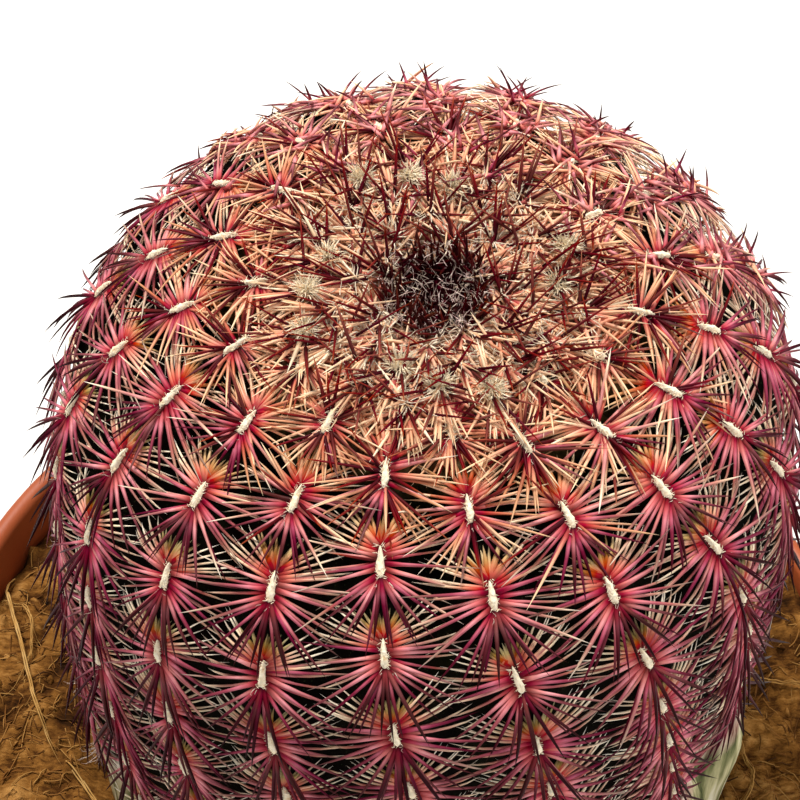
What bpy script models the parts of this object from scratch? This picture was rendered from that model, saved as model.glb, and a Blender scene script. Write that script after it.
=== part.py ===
"""Potted rainbow cactus.

A ribbed stem with a sunken crown stands in coconut coir in a round plastic pot. Every rib carries a row of
areoles, each with a comb of spines, and the crown carries a tuft of new spines. Metres, +Z up, with the
origin at the centre of the pot's underside.
"""

import math

import bpy
from mathutils import Matrix, Vector

MM = 0.001
GAP = 0.3 * MM  # air between two pieces that touch

# Pot: a tapered wall on a foot ring, with a collar under a rolled lip
POT_HEIGHT = 95 * MM
LIP_RADIUS = 54.6 * MM  # to the middle of the lip's bead
LIP_BEAD = 1.25 * MM
WALL = 1.5 * MM
FLOOR_UNDERSIDE = 3 * MM
FLOOR_TOP = 5 * MM
FOOT_INNER = 32 * MM
FOOT_OUTER = 38 * MM
FOOT_CHAMFER = 0.8 * MM
BODY_TOP_RADIUS = 52.4 * MM
COLLAR_FOOT = 78 * MM
COLLAR_STEP = 1.4 * MM
COLLAR_CHAMFER = 0.4 * MM
COLLAR_SLOPE = 1.5 * MM  # the step inside the collar slopes over this much above and below its foot
LIP_SKIRT = 3 * MM  # how far the lip's outer side comes down
FOOT_DRAFT = 0.3 * MM
POT_SEGMENTS = 48
DRAIN_HOLES = 6
DRAIN_RADIUS = 4 * MM
DRAIN_CIRCLE = 22 * MM
DRILL_SEGMENTS = 16
DRILL_TURN = math.radians(4)  # keeps the drills' corners off the floor's own edges
FOOT_NOTCHES = 4
NOTCH_WIDTH = 6 * MM
NOTCH_HEIGHT = 2.2 * MM
CUTTER_OVERRUN = 2.5 * MM  # how far a cutting tool reaches past what it cuts

# Coir
SOIL_LEVEL = 88.5 * MM
SOIL_RISE = 1.8 * MM  # how much higher the coir lies against the stem than at the wall
SOIL_BUMP = 0.7 * MM
SOIL_WAVES = (  # mounds: waves round the pot, phase, and how far they wind on per metre outwards
    (3, 0.6, 0),
    (5, 2.1, 90),
    (8, 0.57, 0),
)
RISE_WIDTH = 0.42  # share of the coir's radius over which it rises from the wall
MOUND_FADE = 0.17  # share of the radius, next to the wall, in which the mounds die out
SOIL_SEGMENTS = 36
SOIL_RINGS = 6
SOIL_CORE = 4 * MM  # innermost ring of the coir's top before the stem's pocket is cut

# Stem: the line over a rib's crest, as radius and height above the coir, from the crown's centre down
CREST_LINE = (
    (0.0, 68.3),
    (3.2, 68.7),
    (7.6, 69.9),
    (12.8, 70.4),
    (19.8, 69.3),
    (27.5, 65.5),
    (33.4, 58.8),
    (35.6, 48.2),
    (36.2, 35.2),
    (36.3, 18.7),
    (36.0, 0.7),
    (34.0, -9.0),
    (26.0, -17.0),
    (12.0, -20.5),
)
RIBS = 19
RIB_DEPTH = 3.2 * MM
RIB_RISE_END = 20 * MM  # arc length from the crown's centre at which the ribs have their full depth
RIB_FADE_START = 70 * MM
RIB_FADE_END = 98 * MM
FIRST_RIB = math.radians(19.0)  # azimuth of the first rib at RIB_REFERENCE
RIB_REFERENCE = 34.9 * MM
RIB_TWIST = math.radians(0.412) / MM  # the ribs wind round the stem, per metre of arc
CROWN_TILT = math.radians(11.0)  # the stem's rings lean towards the light
LIGHT_SIDE = math.radians(-103.0)
COLUMNS_PER_RIB = 4
RING_STEP = 6.4 * MM

# Areoles: a spiral lattice in which each rib's row starts ROW_SHIFT of a pitch further in than the last
AREOLE_PITCH = 6.7 * MM
ROW_SHIFT = 7 / RIBS
ROW_START = 0.5 * MM
COMB_REACH = 4.7 * MM
COMB_KEEL = 0.5 * MM
COMB_EDGE = 1.0 * MM
COMB_GAP = 0.5 * MM  # half the air between neighbouring ribs' combs
COMB_START = 0.4  # in pitches, from the first areole up to its comb's upper end
COMB_END = 0.62  # in pitches, from the last areole down to its comb's lower end
WOOL_HEIGHT = 1.7 * MM
LOWEST_SPINE = 3.4 * MM
COMB_STATIONS = (  # distance past the areole in pitches, share of the reach, height of the ridge
    (-0.24, 1.0, WOOL_HEIGHT),
    (0.0, 0.3, WOOL_HEIGHT),
    (0.26, 0.9, LOWEST_SPINE),
    (0.5, 0.22, 1.2 * MM),
)
FIRST_COMB = 12.4 * MM  # arc length where the combs begin, outside the crown's tuft
BARE_BASE = 10.2 * MM  # the corky base has no areoles up to this height over the coir
BARE_RISE = 6 * MM  # half of how much higher up the stem is bare on BARE_SIDE than opposite it
BARE_SIDE = math.radians(-20.0)

# Crown tuft
TUFT_RADIUS = 8.8 * MM
TUFT_RINGS = 5
TUFT_COLUMNS = 30
TUFT_SPACING = 3  # every third column has a spine
TUFT_SPINE = 6.5 * MM
TUFT_FELT = 1.2 * MM
TUFT_UNDERSIDE = 0.5 * MM


def clear_scene():
    """Removes whatever the scene holds."""
    for old in list(bpy.data.objects):
        bpy.data.objects.remove(old, do_unlink=True)


def material(name, colour, roughness, metallic=0.0):
    """A Principled material of one colour, given as linear red, green and blue."""
    made = bpy.data.materials.new(name)
    made.use_nodes = True
    shader = made.node_tree.nodes["Principled BSDF"]
    shader.inputs["Base Color"].default_value = (*colour, 1.0)
    shader.inputs["Roughness"].default_value = roughness
    shader.inputs["Metallic"].default_value = metallic
    return made


def mesh_object(name, points, faces, look=None, smooth=True):
    """A mesh object made from points and faces, with one material."""
    mesh = bpy.data.meshes.new(name)
    mesh.from_pydata([tuple(p) for p in points], [], faces)
    if look is not None:
        mesh.materials.append(look)
    made = bpy.data.objects.new(name, mesh)
    bpy.context.scene.collection.objects.link(made)
    if smooth:
        mesh.shade_smooth()
        mesh.set_sharp_from_angle(angle=math.radians(40))
    return made


def lofted(rings, top_pole, bottom_pole):
    """Points and outward faces of a closed skin over rings of equal length, listed from the top down and
    each counter-clockwise seen from above, with a pole point at either end."""
    count = len(rings[0])
    points = [top_pole]
    for ring in rings:
        points.extend(ring)
    points.append(bottom_pole)
    last = len(points) - 1
    foot = last - count
    faces = []
    for j in range(count):
        k = (j + 1) % count
        faces.append((0, 1 + j, 1 + k))
        faces.append((last, foot + k, foot + j))
        for i in range(len(rings) - 1):
            upper = 1 + i * count
            lower = upper + count
            faces.append((upper + j, lower + j, lower + k, upper + k))
    return points, faces


def circle(radius, height, segments, turn=0.0):
    """Points of a level circle round the pot's axis, turned by an angle."""
    ring = []
    for j in range(segments):
        angle = turn + 2 * math.pi * j / segments
        ring.append(Vector((radius * math.cos(angle), radius * math.sin(angle), height)))
    return ring


def lathe(name, outline, segments, look):
    """A turned solid. The outline runs from its top pole to its bottom pole down the outer side, as
    radius and height, and starts and ends on the axis."""
    rings = [circle(radius, height, segments) for radius, height in outline[1:-1]]
    top_pole = Vector((0, 0, outline[0][1]))
    bottom_pole = Vector((0, 0, outline[-1][1]))
    points, faces = lofted(rings, top_pole, bottom_pole)
    return mesh_object(name, points, faces, look)


def cutter(name, points, faces):
    """A closed mesh that only cuts: never rendered, and drawn as wire."""
    made = mesh_object(name, points, faces, smooth=False)
    made.hide_render = True
    made.display_type = "WIRE"
    return made


def cut(body, tool):
    """Cuts the tool's shape out of a body."""
    boolean = body.modifiers.new("cut_" + tool.name, "BOOLEAN")
    boolean.operation = "DIFFERENCE"
    boolean.solver = "EXACT"
    boolean.object = tool


def smoothstep(x, start, end):
    """0 before start, 1 after end, and an even S between them."""
    t = min(1.0, max(0.0, (x - start) / (end - start)))
    return t * t * (3 - 2 * t)


def crest_samples(points, steps=12):
    """The crest line as close points: a Catmull-Rom curve through the given ones, in metres, and the arc
    length at each."""
    marks = [Vector(p) * MM for p in points]
    marks.insert(0, Vector((-marks[1].x, marks[1].y)))
    marks.append(2 * marks[-1] - marks[-2])
    line = []
    for a, b, c, d in zip(marks, marks[1:], marks[2:], marks[3:]):
        for i in range(steps):
            t = i / steps
            bend = 2 * a - 5 * b + 4 * c - d
            twist = -a + 3 * b - 3 * c + d
            line.append(b + 0.5 * t * (c - a) + 0.5 * t * t * bend + 0.5 * t * t * t * twist)
    line.append(marks[-2])
    arcs = [0.0]
    for a, b in zip(line, line[1:]):
        arcs.append(arcs[-1] + (b - a).length)
    return line, arcs


CREST, ARCS = crest_samples(CREST_LINE)
RING_TURN = Matrix.Rotation(CROWN_TILT, 3, Vector((-math.sin(LIGHT_SIDE), math.cos(LIGHT_SIDE), 0)))


def crest_at(arc):
    """The crest line's point and outward normal, both as radius and height, at an arc length."""
    i = 1
    while i < len(ARCS) - 1 and ARCS[i] < arc:
        i += 1
    a, b = CREST[i - 1], CREST[i]
    t = (arc - ARCS[i - 1]) / (ARCS[i] - ARCS[i - 1])
    along = (b - a).normalized()
    return a.lerp(b, t), Vector((-along.y, along.x))


def skin_point(arc, azimuth, lift):
    """A point over the ribs' crests: lift is the height above them, or less than 0 in a groove."""
    point, normal = crest_at(arc)
    radius = point.x + lift * normal.x
    ring = Vector((radius * math.cos(azimuth), radius * math.sin(azimuth), lift * normal.y))
    return Vector((0, 0, SOIL_LEVEL + point.y)) + RING_TURN @ ring


def rib_azimuth(rib, arc):
    """Where a rib's crest is, as it winds round the stem. It may lie between two ribs."""
    return FIRST_RIB - 2 * math.pi * rib / RIBS + RIB_TWIST * (arc - RIB_REFERENCE)


def groove(arc, phase):
    """How far the stem lies below its crests: phase 0 is a crest and 0.5 the bottom of a groove."""
    depth = RIB_DEPTH * smoothstep(arc, 0, RIB_RISE_END) * (1 - smoothstep(arc, RIB_FADE_START, RIB_FADE_END))
    return depth * (1 - abs(math.cos(math.pi * phase)))


def stem_ring(arc, grow=0.0):
    """One ring of the stem's skin, counter-clockwise."""
    columns = RIBS * COLUMNS_PER_RIB
    ring = []
    for j in range(columns):
        rib = -j / COLUMNS_PER_RIB
        ring.append(skin_point(arc, rib_azimuth(rib, arc), grow - groove(arc, rib)))
    return ring


def ring_arcs():
    """Arc lengths of the stem's rings, evenly spaced down to the end of the crest line."""
    count = round(ARCS[-1] / RING_STEP)
    return [ARCS[-1] * i / count for i in range(1, count + 1)]


def make_stem(look):
    """The stem, from the sunken crown to the rooted base inside the coir."""
    rings = [stem_ring(arc) for arc in ring_arcs()]
    top = skin_point(0, 0, 0)
    bottom = sum(rings[-1], Vector()) / len(rings[-1])
    points, faces = lofted(rings, top, bottom)
    return mesh_object("stem", points, faces, look)


def stem_pocket():
    """The space that the stem's base takes in the coir, with its gap all round."""
    rings = [stem_ring(arc, GAP) for arc in ring_arcs() if arc > RIB_FADE_START]
    top = sum(rings[0], Vector()) / len(rings[0])
    bottom = sum(rings[-1], Vector()) / len(rings[-1]) - Vector((0, 0, GAP))
    points, faces = lofted(rings, top, bottom)
    return cutter("stem_pocket", points, faces)


def pot_inside():
    """The pot's inner wall, as radius and height, from the floor's edge up."""
    return (
        (FOOT_OUTER - WALL, FLOOR_TOP),
        (BODY_TOP_RADIUS - WALL, COLLAR_FOOT - COLLAR_SLOPE),
        (BODY_TOP_RADIUS + COLLAR_STEP - WALL, COLLAR_FOOT + COLLAR_SLOPE),
        (LIP_RADIUS - LIP_BEAD, POT_HEIGHT - LIP_BEAD),
    )


def lip_bead(steps=8):
    """The lip's rounded top, from its inner side over to its outer side."""
    centre = Vector((LIP_RADIUS, POT_HEIGHT - LIP_BEAD))
    arc = []
    for i in range(steps + 1):
        angle = math.pi * (1 - i / steps)
        arc.append(centre + LIP_BEAD * Vector((math.cos(angle), math.sin(angle))))
    return arc


def make_pot(look):
    """The pot: one moulding with a raised, drained floor inside a notched foot ring."""
    inside = list(pot_inside())
    outline = [(0, FLOOR_TOP)]
    outline.extend(inside[:-1])
    outline.extend(lip_bead())
    outline.append((LIP_RADIUS + LIP_BEAD, POT_HEIGHT - LIP_SKIRT))
    outline.append((BODY_TOP_RADIUS + COLLAR_STEP, COLLAR_FOOT + COLLAR_CHAMFER))
    outline.append((BODY_TOP_RADIUS + COLLAR_STEP - COLLAR_CHAMFER, COLLAR_FOOT))
    outline.append((BODY_TOP_RADIUS, COLLAR_FOOT))
    outline.append((FOOT_OUTER + FOOT_DRAFT, FOOT_CHAMFER))
    outline.append((FOOT_OUTER - FOOT_CHAMFER, 0))
    outline.append((FOOT_INNER + FOOT_CHAMFER, 0))
    outline.append((FOOT_INNER, FOOT_CHAMFER))
    outline.append((FOOT_INNER, FLOOR_UNDERSIDE))
    outline.append((0, FLOOR_UNDERSIDE))
    pot = lathe("pot", outline, POT_SEGMENTS, look)
    for i in range(DRAIN_HOLES):
        angle = 2 * math.pi * (i + 0.5) / DRAIN_HOLES
        centre = Vector((DRAIN_CIRCLE * math.cos(angle), DRAIN_CIRCLE * math.sin(angle), 0))
        cut(pot, drain_drill("drain_drill_%d" % (i + 1), centre))
    cut(pot, drain_drill("drain_drill_centre", Vector()))
    for i in range(FOOT_NOTCHES):
        cut(pot, notch_tool("notch_tool_%d" % (i + 1), 2 * math.pi * (i + 0.5) / FOOT_NOTCHES))
    return pot


def drain_drill(name, centre):
    """A round tool that passes right through the pot's floor."""
    top = FLOOR_TOP + CUTTER_OVERRUN
    bottom = FLOOR_UNDERSIDE - CUTTER_OVERRUN
    rings = []
    for height in (top, bottom):
        rings.append([centre + p for p in circle(DRAIN_RADIUS, height, DRILL_SEGMENTS, DRILL_TURN)])
    return cutter(name, *lofted(rings, centre + Vector((0, 0, top)), centre + Vector((0, 0, bottom))))


def notch_tool(name, angle):
    """A block that lets water out under the foot ring."""
    out = Vector((math.cos(angle), math.sin(angle), 0))
    side = Vector((-out.y, out.x, 0)) * NOTCH_WIDTH / 2
    rings = []
    for height in (NOTCH_HEIGHT, -CUTTER_OVERRUN):
        near = out * (FOOT_INNER - CUTTER_OVERRUN) + Vector((0, 0, height))
        far = out * (FOOT_OUTER + CUTTER_OVERRUN) + Vector((0, 0, height))
        rings.append([near - side, far - side, far + side, near + side])
    top = sum(rings[0], Vector()) / 4
    bottom = sum(rings[1], Vector()) / 4
    return cutter(name, *lofted(rings, top, bottom))


def soil_height(radius, angle, edge):
    """The coir's uneven top: higher against the stem, with low mounds that die out at the wall."""
    inward = 1 - radius / edge
    mounds = sum(math.sin(waves * angle + phase + wind * radius) for waves, phase, wind in SOIL_WAVES) / 2
    rise = SOIL_RISE * min(1.0, inward / RISE_WIDTH)
    return SOIL_LEVEL + rise + SOIL_BUMP * mounds * min(1.0, inward / MOUND_FADE)


def make_soil(look):
    """The plug of coir that fills the pot round the stem's base."""
    wall = [(radius - GAP, height) for radius, height in pot_inside()]
    (lower_radius, lower), (upper_radius, upper) = wall[-2:]
    share = (SOIL_LEVEL - lower) / (upper - lower)
    edge = lower_radius + share * (upper_radius - lower_radius)
    rings = []
    for i in range(SOIL_RINGS):
        radius = SOIL_CORE + (edge - SOIL_CORE) * i / (SOIL_RINGS - 1)
        ring = circle(radius, 0, SOIL_SEGMENTS)
        for j, point in enumerate(ring):
            point.z = soil_height(radius, 2 * math.pi * j / SOIL_SEGMENTS, edge)
        rings.append(ring)
    for radius, height in reversed(wall[:-1]):
        rings.append(circle(radius, max(height, FLOOR_TOP + GAP), SOIL_SEGMENTS))
    top = Vector((0, 0, SOIL_LEVEL + SOIL_RISE))
    bottom = Vector((0, 0, FLOOR_TOP + GAP))
    points, faces = lofted(rings, top, bottom)
    soil = mesh_object("soil", points, faces, look)
    cut(soil, stem_pocket())
    return soil


def comb_station(rib, arc, share, ridge):
    """Four points of a comb's cross-section: left edge, keel, right edge, ridge. The share is of the
    widest reach that stays clear of the neighbouring ribs' combs."""
    azimuth = rib_azimuth(rib, arc)
    radius = crest_at(arc)[0].x
    turn = share * min(COMB_REACH, math.pi * radius / RIBS - COMB_GAP) / radius
    return [
        skin_point(arc, azimuth + turn, COMB_EDGE),
        skin_point(arc, azimuth, COMB_KEEL),
        skin_point(arc, azimuth - turn, COMB_EDGE),
        skin_point(arc, azimuth, ridge),
    ]


def bare_height(azimuth):
    """How high over the coir the corky base, which has no areoles, reaches at an azimuth."""
    return SOIL_RISE + BARE_BASE + BARE_RISE * (1 + math.cos(azimuth - BARE_SIDE))


def areole_arcs(rib):
    """Arc lengths of a rib's areoles, from outside the crown's tuft down to the corky base."""
    arc = (ROW_START - ROW_SHIFT * AREOLE_PITCH * rib) % AREOLE_PITCH
    arcs = []
    while skin_point(arc, rib_azimuth(rib, arc), 0).z > SOIL_LEVEL + bare_height(rib_azimuth(rib, arc)):
        if arc > FIRST_COMB:
            arcs.append(arc)
        arc += AREOLE_PITCH
    return arcs


def make_comb(rib, look):
    """One rib's row of areoles and their spines, as one toothed strip that lies over the rib's crest.
    Each areole has a pair of teeth above its wool, a pair below, whose ridge is the long lowest spine,
    and a waist before the next areole."""
    arcs = areole_arcs(rib)
    rows = []
    for areole in arcs:
        for offset, share, ridge in COMB_STATIONS:
            rows.append(comb_station(rib, areole + offset * AREOLE_PITCH, share, ridge))
    above = arcs[0] - COMB_START * AREOLE_PITCH
    below = arcs[-1] + COMB_END * AREOLE_PITCH
    top = skin_point(above, rib_azimuth(rib, above), COMB_EDGE)
    bottom = skin_point(below, rib_azimuth(rib, below), COMB_EDGE)
    points, faces = lofted(rows, top, bottom)
    return mesh_object("spines_rib_%02d" % (rib + 1), points, faces, look, smooth=False)


def make_tuft(look):
    """The crown's new spines and felt: a spiky pad that lies in the sunken crown."""
    over = []
    under = []
    for i in range(1, TUFT_RINGS + 1):
        arc = TUFT_RADIUS * i / TUFT_RINGS
        upper_ring = []
        under_ring = []
        for j in range(TUFT_COLUMNS):
            azimuth = 2 * math.pi * j / TUFT_COLUMNS
            is_spine = i < TUFT_RINGS and (i + j) % TUFT_SPACING == 0
            height = TUFT_SPINE if is_spine else TUFT_FELT
            upper_ring.append(skin_point(arc, azimuth, height))
            under_ring.append(skin_point(arc, azimuth, TUFT_UNDERSIDE))
        over.append(upper_ring)
        under.insert(0, under_ring)
    top = skin_point(0, 0, TUFT_FELT)
    bottom = skin_point(0, 0, TUFT_UNDERSIDE)
    points, faces = lofted(over + under, top, bottom)
    return mesh_object("crown_spines", points, faces, look, smooth=False)


def make_cactus():
    """Builds every piece."""
    clear_scene()
    make_pot(material("terracotta_plastic", (0.52, 0.16, 0.065), 0.55))
    make_soil(material("coir", (0.16, 0.085, 0.035), 0.95))
    make_stem(material("stem_skin", (0.03, 0.065, 0.03), 0.5))
    spines = material("spines", (0.42, 0.09, 0.13), 0.5)
    for rib in range(RIBS):
        make_comb(rib, spines)
    make_tuft(material("new_spines", (0.2, 0.03, 0.035), 0.5))


make_cactus()
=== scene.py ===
"""Finish of the potted rainbow cactus: spines, wool, stem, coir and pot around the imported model.

Lengths are in metres and MM turns millimetres into metres. The stem's shape, its ribs and the lattice of its
areoles follow the same rules as the model, so every finished piece lies where its solid is.
"""

import bisect
import math
import random

import bpy
from mathutils import Matrix, Vector, noise


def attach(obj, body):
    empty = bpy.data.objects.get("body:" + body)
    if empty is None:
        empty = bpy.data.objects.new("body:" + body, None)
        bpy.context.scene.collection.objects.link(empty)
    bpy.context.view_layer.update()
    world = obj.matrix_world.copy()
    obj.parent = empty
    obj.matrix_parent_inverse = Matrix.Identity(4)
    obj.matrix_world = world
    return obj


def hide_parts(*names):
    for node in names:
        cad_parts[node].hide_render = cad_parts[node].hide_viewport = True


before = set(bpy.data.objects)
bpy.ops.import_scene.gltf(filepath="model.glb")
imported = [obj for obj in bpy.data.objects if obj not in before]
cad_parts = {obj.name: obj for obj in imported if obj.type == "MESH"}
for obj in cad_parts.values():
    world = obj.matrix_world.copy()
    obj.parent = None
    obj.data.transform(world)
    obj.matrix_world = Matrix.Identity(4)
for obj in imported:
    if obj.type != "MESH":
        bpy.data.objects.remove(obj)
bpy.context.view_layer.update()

MM = 0.001
ANY_WAY = 6.28  # about a full turn in radians, for random directions

# Camera: it looks down on the crown from just over the pot's front
CAMERA_AIM = Vector((-2.5, 0, 143.4)) * MM
CAMERA_DISTANCE = 145.4 * MM
CAMERA_AZIMUTH = math.radians(0.96)
CAMERA_ELEVATION = math.radians(48.1)
CAMERA_ROLL = math.radians(3.88)
CAMERA_LENS = 68.4  # on the default sensor, 36 wide

# Coir
SOIL_LEVEL = 88.5 * MM
SOIL_RISE = 1.8 * MM
SOIL_BUMP = 0.7 * MM
SOIL_WAVES = (  # mounds: waves round the pot, phase, and how far they wind on per metre outwards
    (3, 0.6, 0),
    (5, 2.1, 90),
    (8, 0.57, 0),
)
RISE_WIDTH = 0.42  # share of the coir's radius over which it rises from the wall
MOUND_FADE = 0.17  # share of the radius, next to the wall, in which the mounds die out
HEAP_SIDE = math.radians(19.0)  # loose coir is heaped against the wall here
HEAP_WIDTH = math.radians(20.0)
HEAP_HEIGHT = 4.8 * MM
HEAP_RADII = (42 * MM, 53 * MM)
DIP_DEPTH = 2.4 * MM  # beside the stem
DIP_RADII = (36 * MM, 40 * MM)
CLOD_MEAN = 0.6 * MM  # taken off the coir's height, because the clods add about as much
COIR_GAP = 0.3 * MM  # between the coir and the pot's wall and floor
CHIP_DENSITY = 30000.0  # husk chips on a square metre
MATTED_FIBRES = 2400
# Long strands: width in mm, tint, plan points in mm, and the lift off the coir in mm at each
STRANDS = (
    (
        0.5, 0.9, ((-52, 15), (-50, 11), (-47, 4), (-44, -3), (-41, -9), (-39, -12)),
        (0.8, 1.5, 1.8, 1.2, 0.9, 0.2),
    ),
    (0.4, 0.9, ((-39, -11), (-36, -14), (-33, -19), (-34, -26)), (0.3, 0.8, 0.8, 0.1)),
    (0.32, 0.8, ((-52, 11), (-48, 10), (-46, 6), (-46, 1), (-49, -4)), (0.4, 1.4, 1.7, 1.0, 0.2)),
    (0.35, 0.8, ((40, 2), (41, -4), (42, -9), (40, -14), (44, -19)), (0.3, 1.2, 1.4, 0.9, 0.2)),
    (0.4, 0.75, ((42, 5), (46, 4), (50, 2), (51, -5)), (0.4, 1.0, 0.9, 0.3)),
    (0.3, 0.8, ((44, -9), (48, -14), (46, -20), (42, -25)), (0.3, 1.2, 1.0, 0.2)),
    (0.35, 0.85, ((10, 42), (4, 46), (-6, 44), (-15, 47), (-22, 44)), (0.3, 1.2, 1.5, 1.0, 0.2)),
    (0.3, 0.8, ((-12, -40), (-4, -45), (6, -43), (14, -47), (22, -42)), (0.3, 1.1, 1.4, 0.8, 0.2)),
)

# Stem: the line over a rib's crest, as radius and height above the coir in mm, from the crown's centre down
CREST_LINE = (
    (0.0, 68.3),
    (3.2, 68.7),
    (7.6, 69.9),
    (12.8, 70.4),
    (19.8, 69.3),
    (27.5, 65.5),
    (33.4, 58.8),
    (35.6, 48.2),
    (36.2, 35.2),
    (36.3, 18.7),
    (36.0, 0.7),
    (34.0, -9.0),
    (26.0, -17.0),
    (12.0, -20.5),
)
RIBS = 19
RIB_DEPTH = 3.2 * MM
RIB_RISE_END = 20 * MM
RIB_FADE_START = 70 * MM
RIB_FADE_END = 98 * MM
FIRST_RIB = math.radians(19.0)
RIB_REFERENCE = 34.9 * MM
RIB_TWIST = math.radians(0.412) / MM
CROWN_TILT = math.radians(11.0)
# Opposite LIGHT_SIDE the spines are paler, partly in their own colour and partly as painted light from a
# raised tint
LIGHT_SIDE = math.radians(-103.0)  # the crown leans this way, and the combs opposite are paler and looser
COLUMNS_PER_RIB = 10
RING_STEP = 1.2 * MM
CORK_SWELL = 3.2 * MM
CORK_START = 62 * MM  # arc lengths between which the corky base swells out
CORK_END = 84 * MM
CROWN_HOLLOW = 4.4 * MM  # the hollow in the middle of the crown, and the tuft round it
CROWN_SPREAD = 13.4 * MM
CROWN_AREOLES = 42
MAT_SPINES = 31  # flat tan spines, upright dark ones and hairs of each crown areole
UPRIGHT_SPINES = 7
MAT_HAIRS = 40
TUFT_HAIRS = 140  # of those that carry a tuft of wool, which start at TUFT_ARC
TUFT_ARC = 9.5 * MM
FAN_ARCS = (5.5 * MM, 9 * MM)  # from here to here a crown areole's fan opens to a full round
HOLLOW_SPINES = 210
HOLLOW_CURLS = 460
HOLLOW_RIM = (2.0 * MM, 4.8 * MM)  # arc lengths between which the hollow's spines grow longer
GOLDEN_TURN = math.pi * (3 - math.sqrt(5))

# Areoles: a spiral lattice
AREOLE_PITCH = 6.7 * MM
ROW_SHIFT = 7 / RIBS
ROW_START = 0.5 * MM
FIRST_COMB = 12.4 * MM
BARE_BASE = 10.2 * MM  # the corky base has no areoles up to this height over the coir
BARE_RISE = 6 * MM  # half of how much higher up the stem is bare on BARE_SIDE than opposite it
BARE_SIDE = math.radians(-20.0)
# Arc lengths between which an areole loses its youth's wool and tan spines, and its spines darken
WOOLLY_ARCS = (12.5 * MM, 19 * MM)
TAN_ARCS = (15 * MM, 27 * MM)
DUSK_ARCS = (21 * MM, 37 * MM)
DEEP_ARCS = (19 * MM, 31 * MM)
OLD_REACH = 7 * MM  # height over the cork in which the areoles are old
YOUNG_SPINES = 27  # extra ones of the youngest areole
LOOSE_SPINES = 22  # extra ones of an areole on the far side
PAD_HAIRS = (32, 54)  # of a fresh areole and of a young or old one
PAD_CURLS = (4, 36)  # of a fresh areole and of an old one
PAD_LIFT = 0.25 * MM
SPINE_SPAN = 6.5 * MM  # over this length a comb follows the skin as it turns away

# Spine families, in the order of the colour ramps
KHAKI, HOOD, CREAM, UNDER, OVER, LOWER, DARK, NEW_DARK, NEW_TAN, PALE = range(10)
# Every ramp but the last starts dark at the spine's base: partly the base's own deep red, partly painted
# shade where the bases crowd round the wool
SPINE_RAMPS = (
    ((0, "#701414"), (0.16, "#ac382c"), (0.34, "#bc7044"), (0.55, "#b09458"), (1, "#aca480")),
    ((0, "#701418"), (0.14, "#b03c34"), (0.3, "#cc7654"), (0.55, "#d8a474"), (1, "#e8cca0")),
    (
        (0, "#6c0c18"), (0.1, "#ac3030"), (0.2, "#d06c58"),
        (0.36, "#dca084"), (0.58, "#f8e2c0"), (1, "#fffdf2"),
    ),
    (
        (0, "#500a12"), (0.08, "#8c2228"), (0.17, "#c05e60"), (0.28, "#d07e80"),
        (0.42, "#b8686c"), (0.58, "#c88474"), (0.78, "#f0d0b0"), (1, "#fff6e4"),
    ),
    (
        (0, "#480a12"), (0.07, "#8c202c"), (0.15, "#cc6268"), (0.26, "#d88490"),
        (0.42, "#a04e5c"), (0.7, "#742e3c"), (1, "#340a14"),
    ),
    (
        (0, "#400812"), (0.07, "#841a28"), (0.16, "#c0565c"), (0.27, "#c86c7a"),
        (0.42, "#883444"), (0.62, "#561622"), (1, "#280608"),
    ),
    ((0, "#38040e"), (0.08, "#741828"), (0.16, "#600e1c"), (0.3, "#300408"), (1, "#160202")),
    ((0, "#30040a"), (0.4, "#580e14"), (0.72, "#7c201c"), (0.9, "#a04c30"), (1, "#bc7c54")),
    (
        (0, "#6c1024"), (0.12, "#a83038"), (0.24, "#cc7260"),
        (0.45, "#e09c7a"), (0.85, "#f0c498"), (1, "#f8debc"),
    ),
    ((0, "#b08860"), (0.3, "#dcc8a0"), (1, "#fbf6e0")),
)
# One side of an areole's comb, from the short spines above the wool round to the long ones below it: how
# many, angle from the top, length in mm, rise off the skin and bend in degrees, width in mm, share of the
# swell at the base, and family
COMB = (
    (5, (3, 44), (2.1, 3.2), (5, 7), (16, 24), 0.35, 0.6, HOOD),
    (5, (50, 76), (5.2, 6.5), (4, 6), (30, 40), 0.27, 0.7, CREAM),
    (5, (74, 116), (6.6, 6.7), (4, 7), (44, 36), 0.28, 0.7, UNDER),
    (4, (82, 122), (7.4, 7.7), (9, 11), (22, 14), 0.32, 0.8, OVER),
    (4, (127, 167), (7.6, 6.6), (10, 15), (10, 8), 0.32, 0.7, LOWER),
    (2, (152, 174), (7.2, 6.6), (20, 27), (4, 3), 0.38, 0.2, DARK),
)

# What the geometry tree is told for each sort of fine line
COMB_SWEEP = {"Sides": 4, "Stations": 6, "Base Swell": 1.3, "Swell Length": 2.2 * MM, "Taper": 3.6}
HAIR_SWEEP = {"Sides": 3, "Stations": 3, "Base Swell": 0.0}
CURL_SWEEP = {"Sides": 3, "Stations": 7, "Base Swell": 0.0, "Waviness": 1.2 * MM, "Wave Scale": 900.0}
CROWN_COMB_SWEEP = {"Sides": 4, "Stations": 5, "Taper": 2.6, "Seed": 40}
CROWN_WOOL_SWEEP = {"Sides": 3, "Stations": 4, "Waviness": 0.8 * MM, "Wave Scale": 900.0}
FIBRE_SWEEP = {"Sides": 3, "Stations": 5, "Base Swell": 0.0, "Taper": 6.0, "Waviness": 0.8 * MM}
STRAND_SWEEP = {"Sides": 4, "Stations": 26, "Base Swell": 0.0, "Taper": 5.0, "Waviness": 0.9 * MM}

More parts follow.
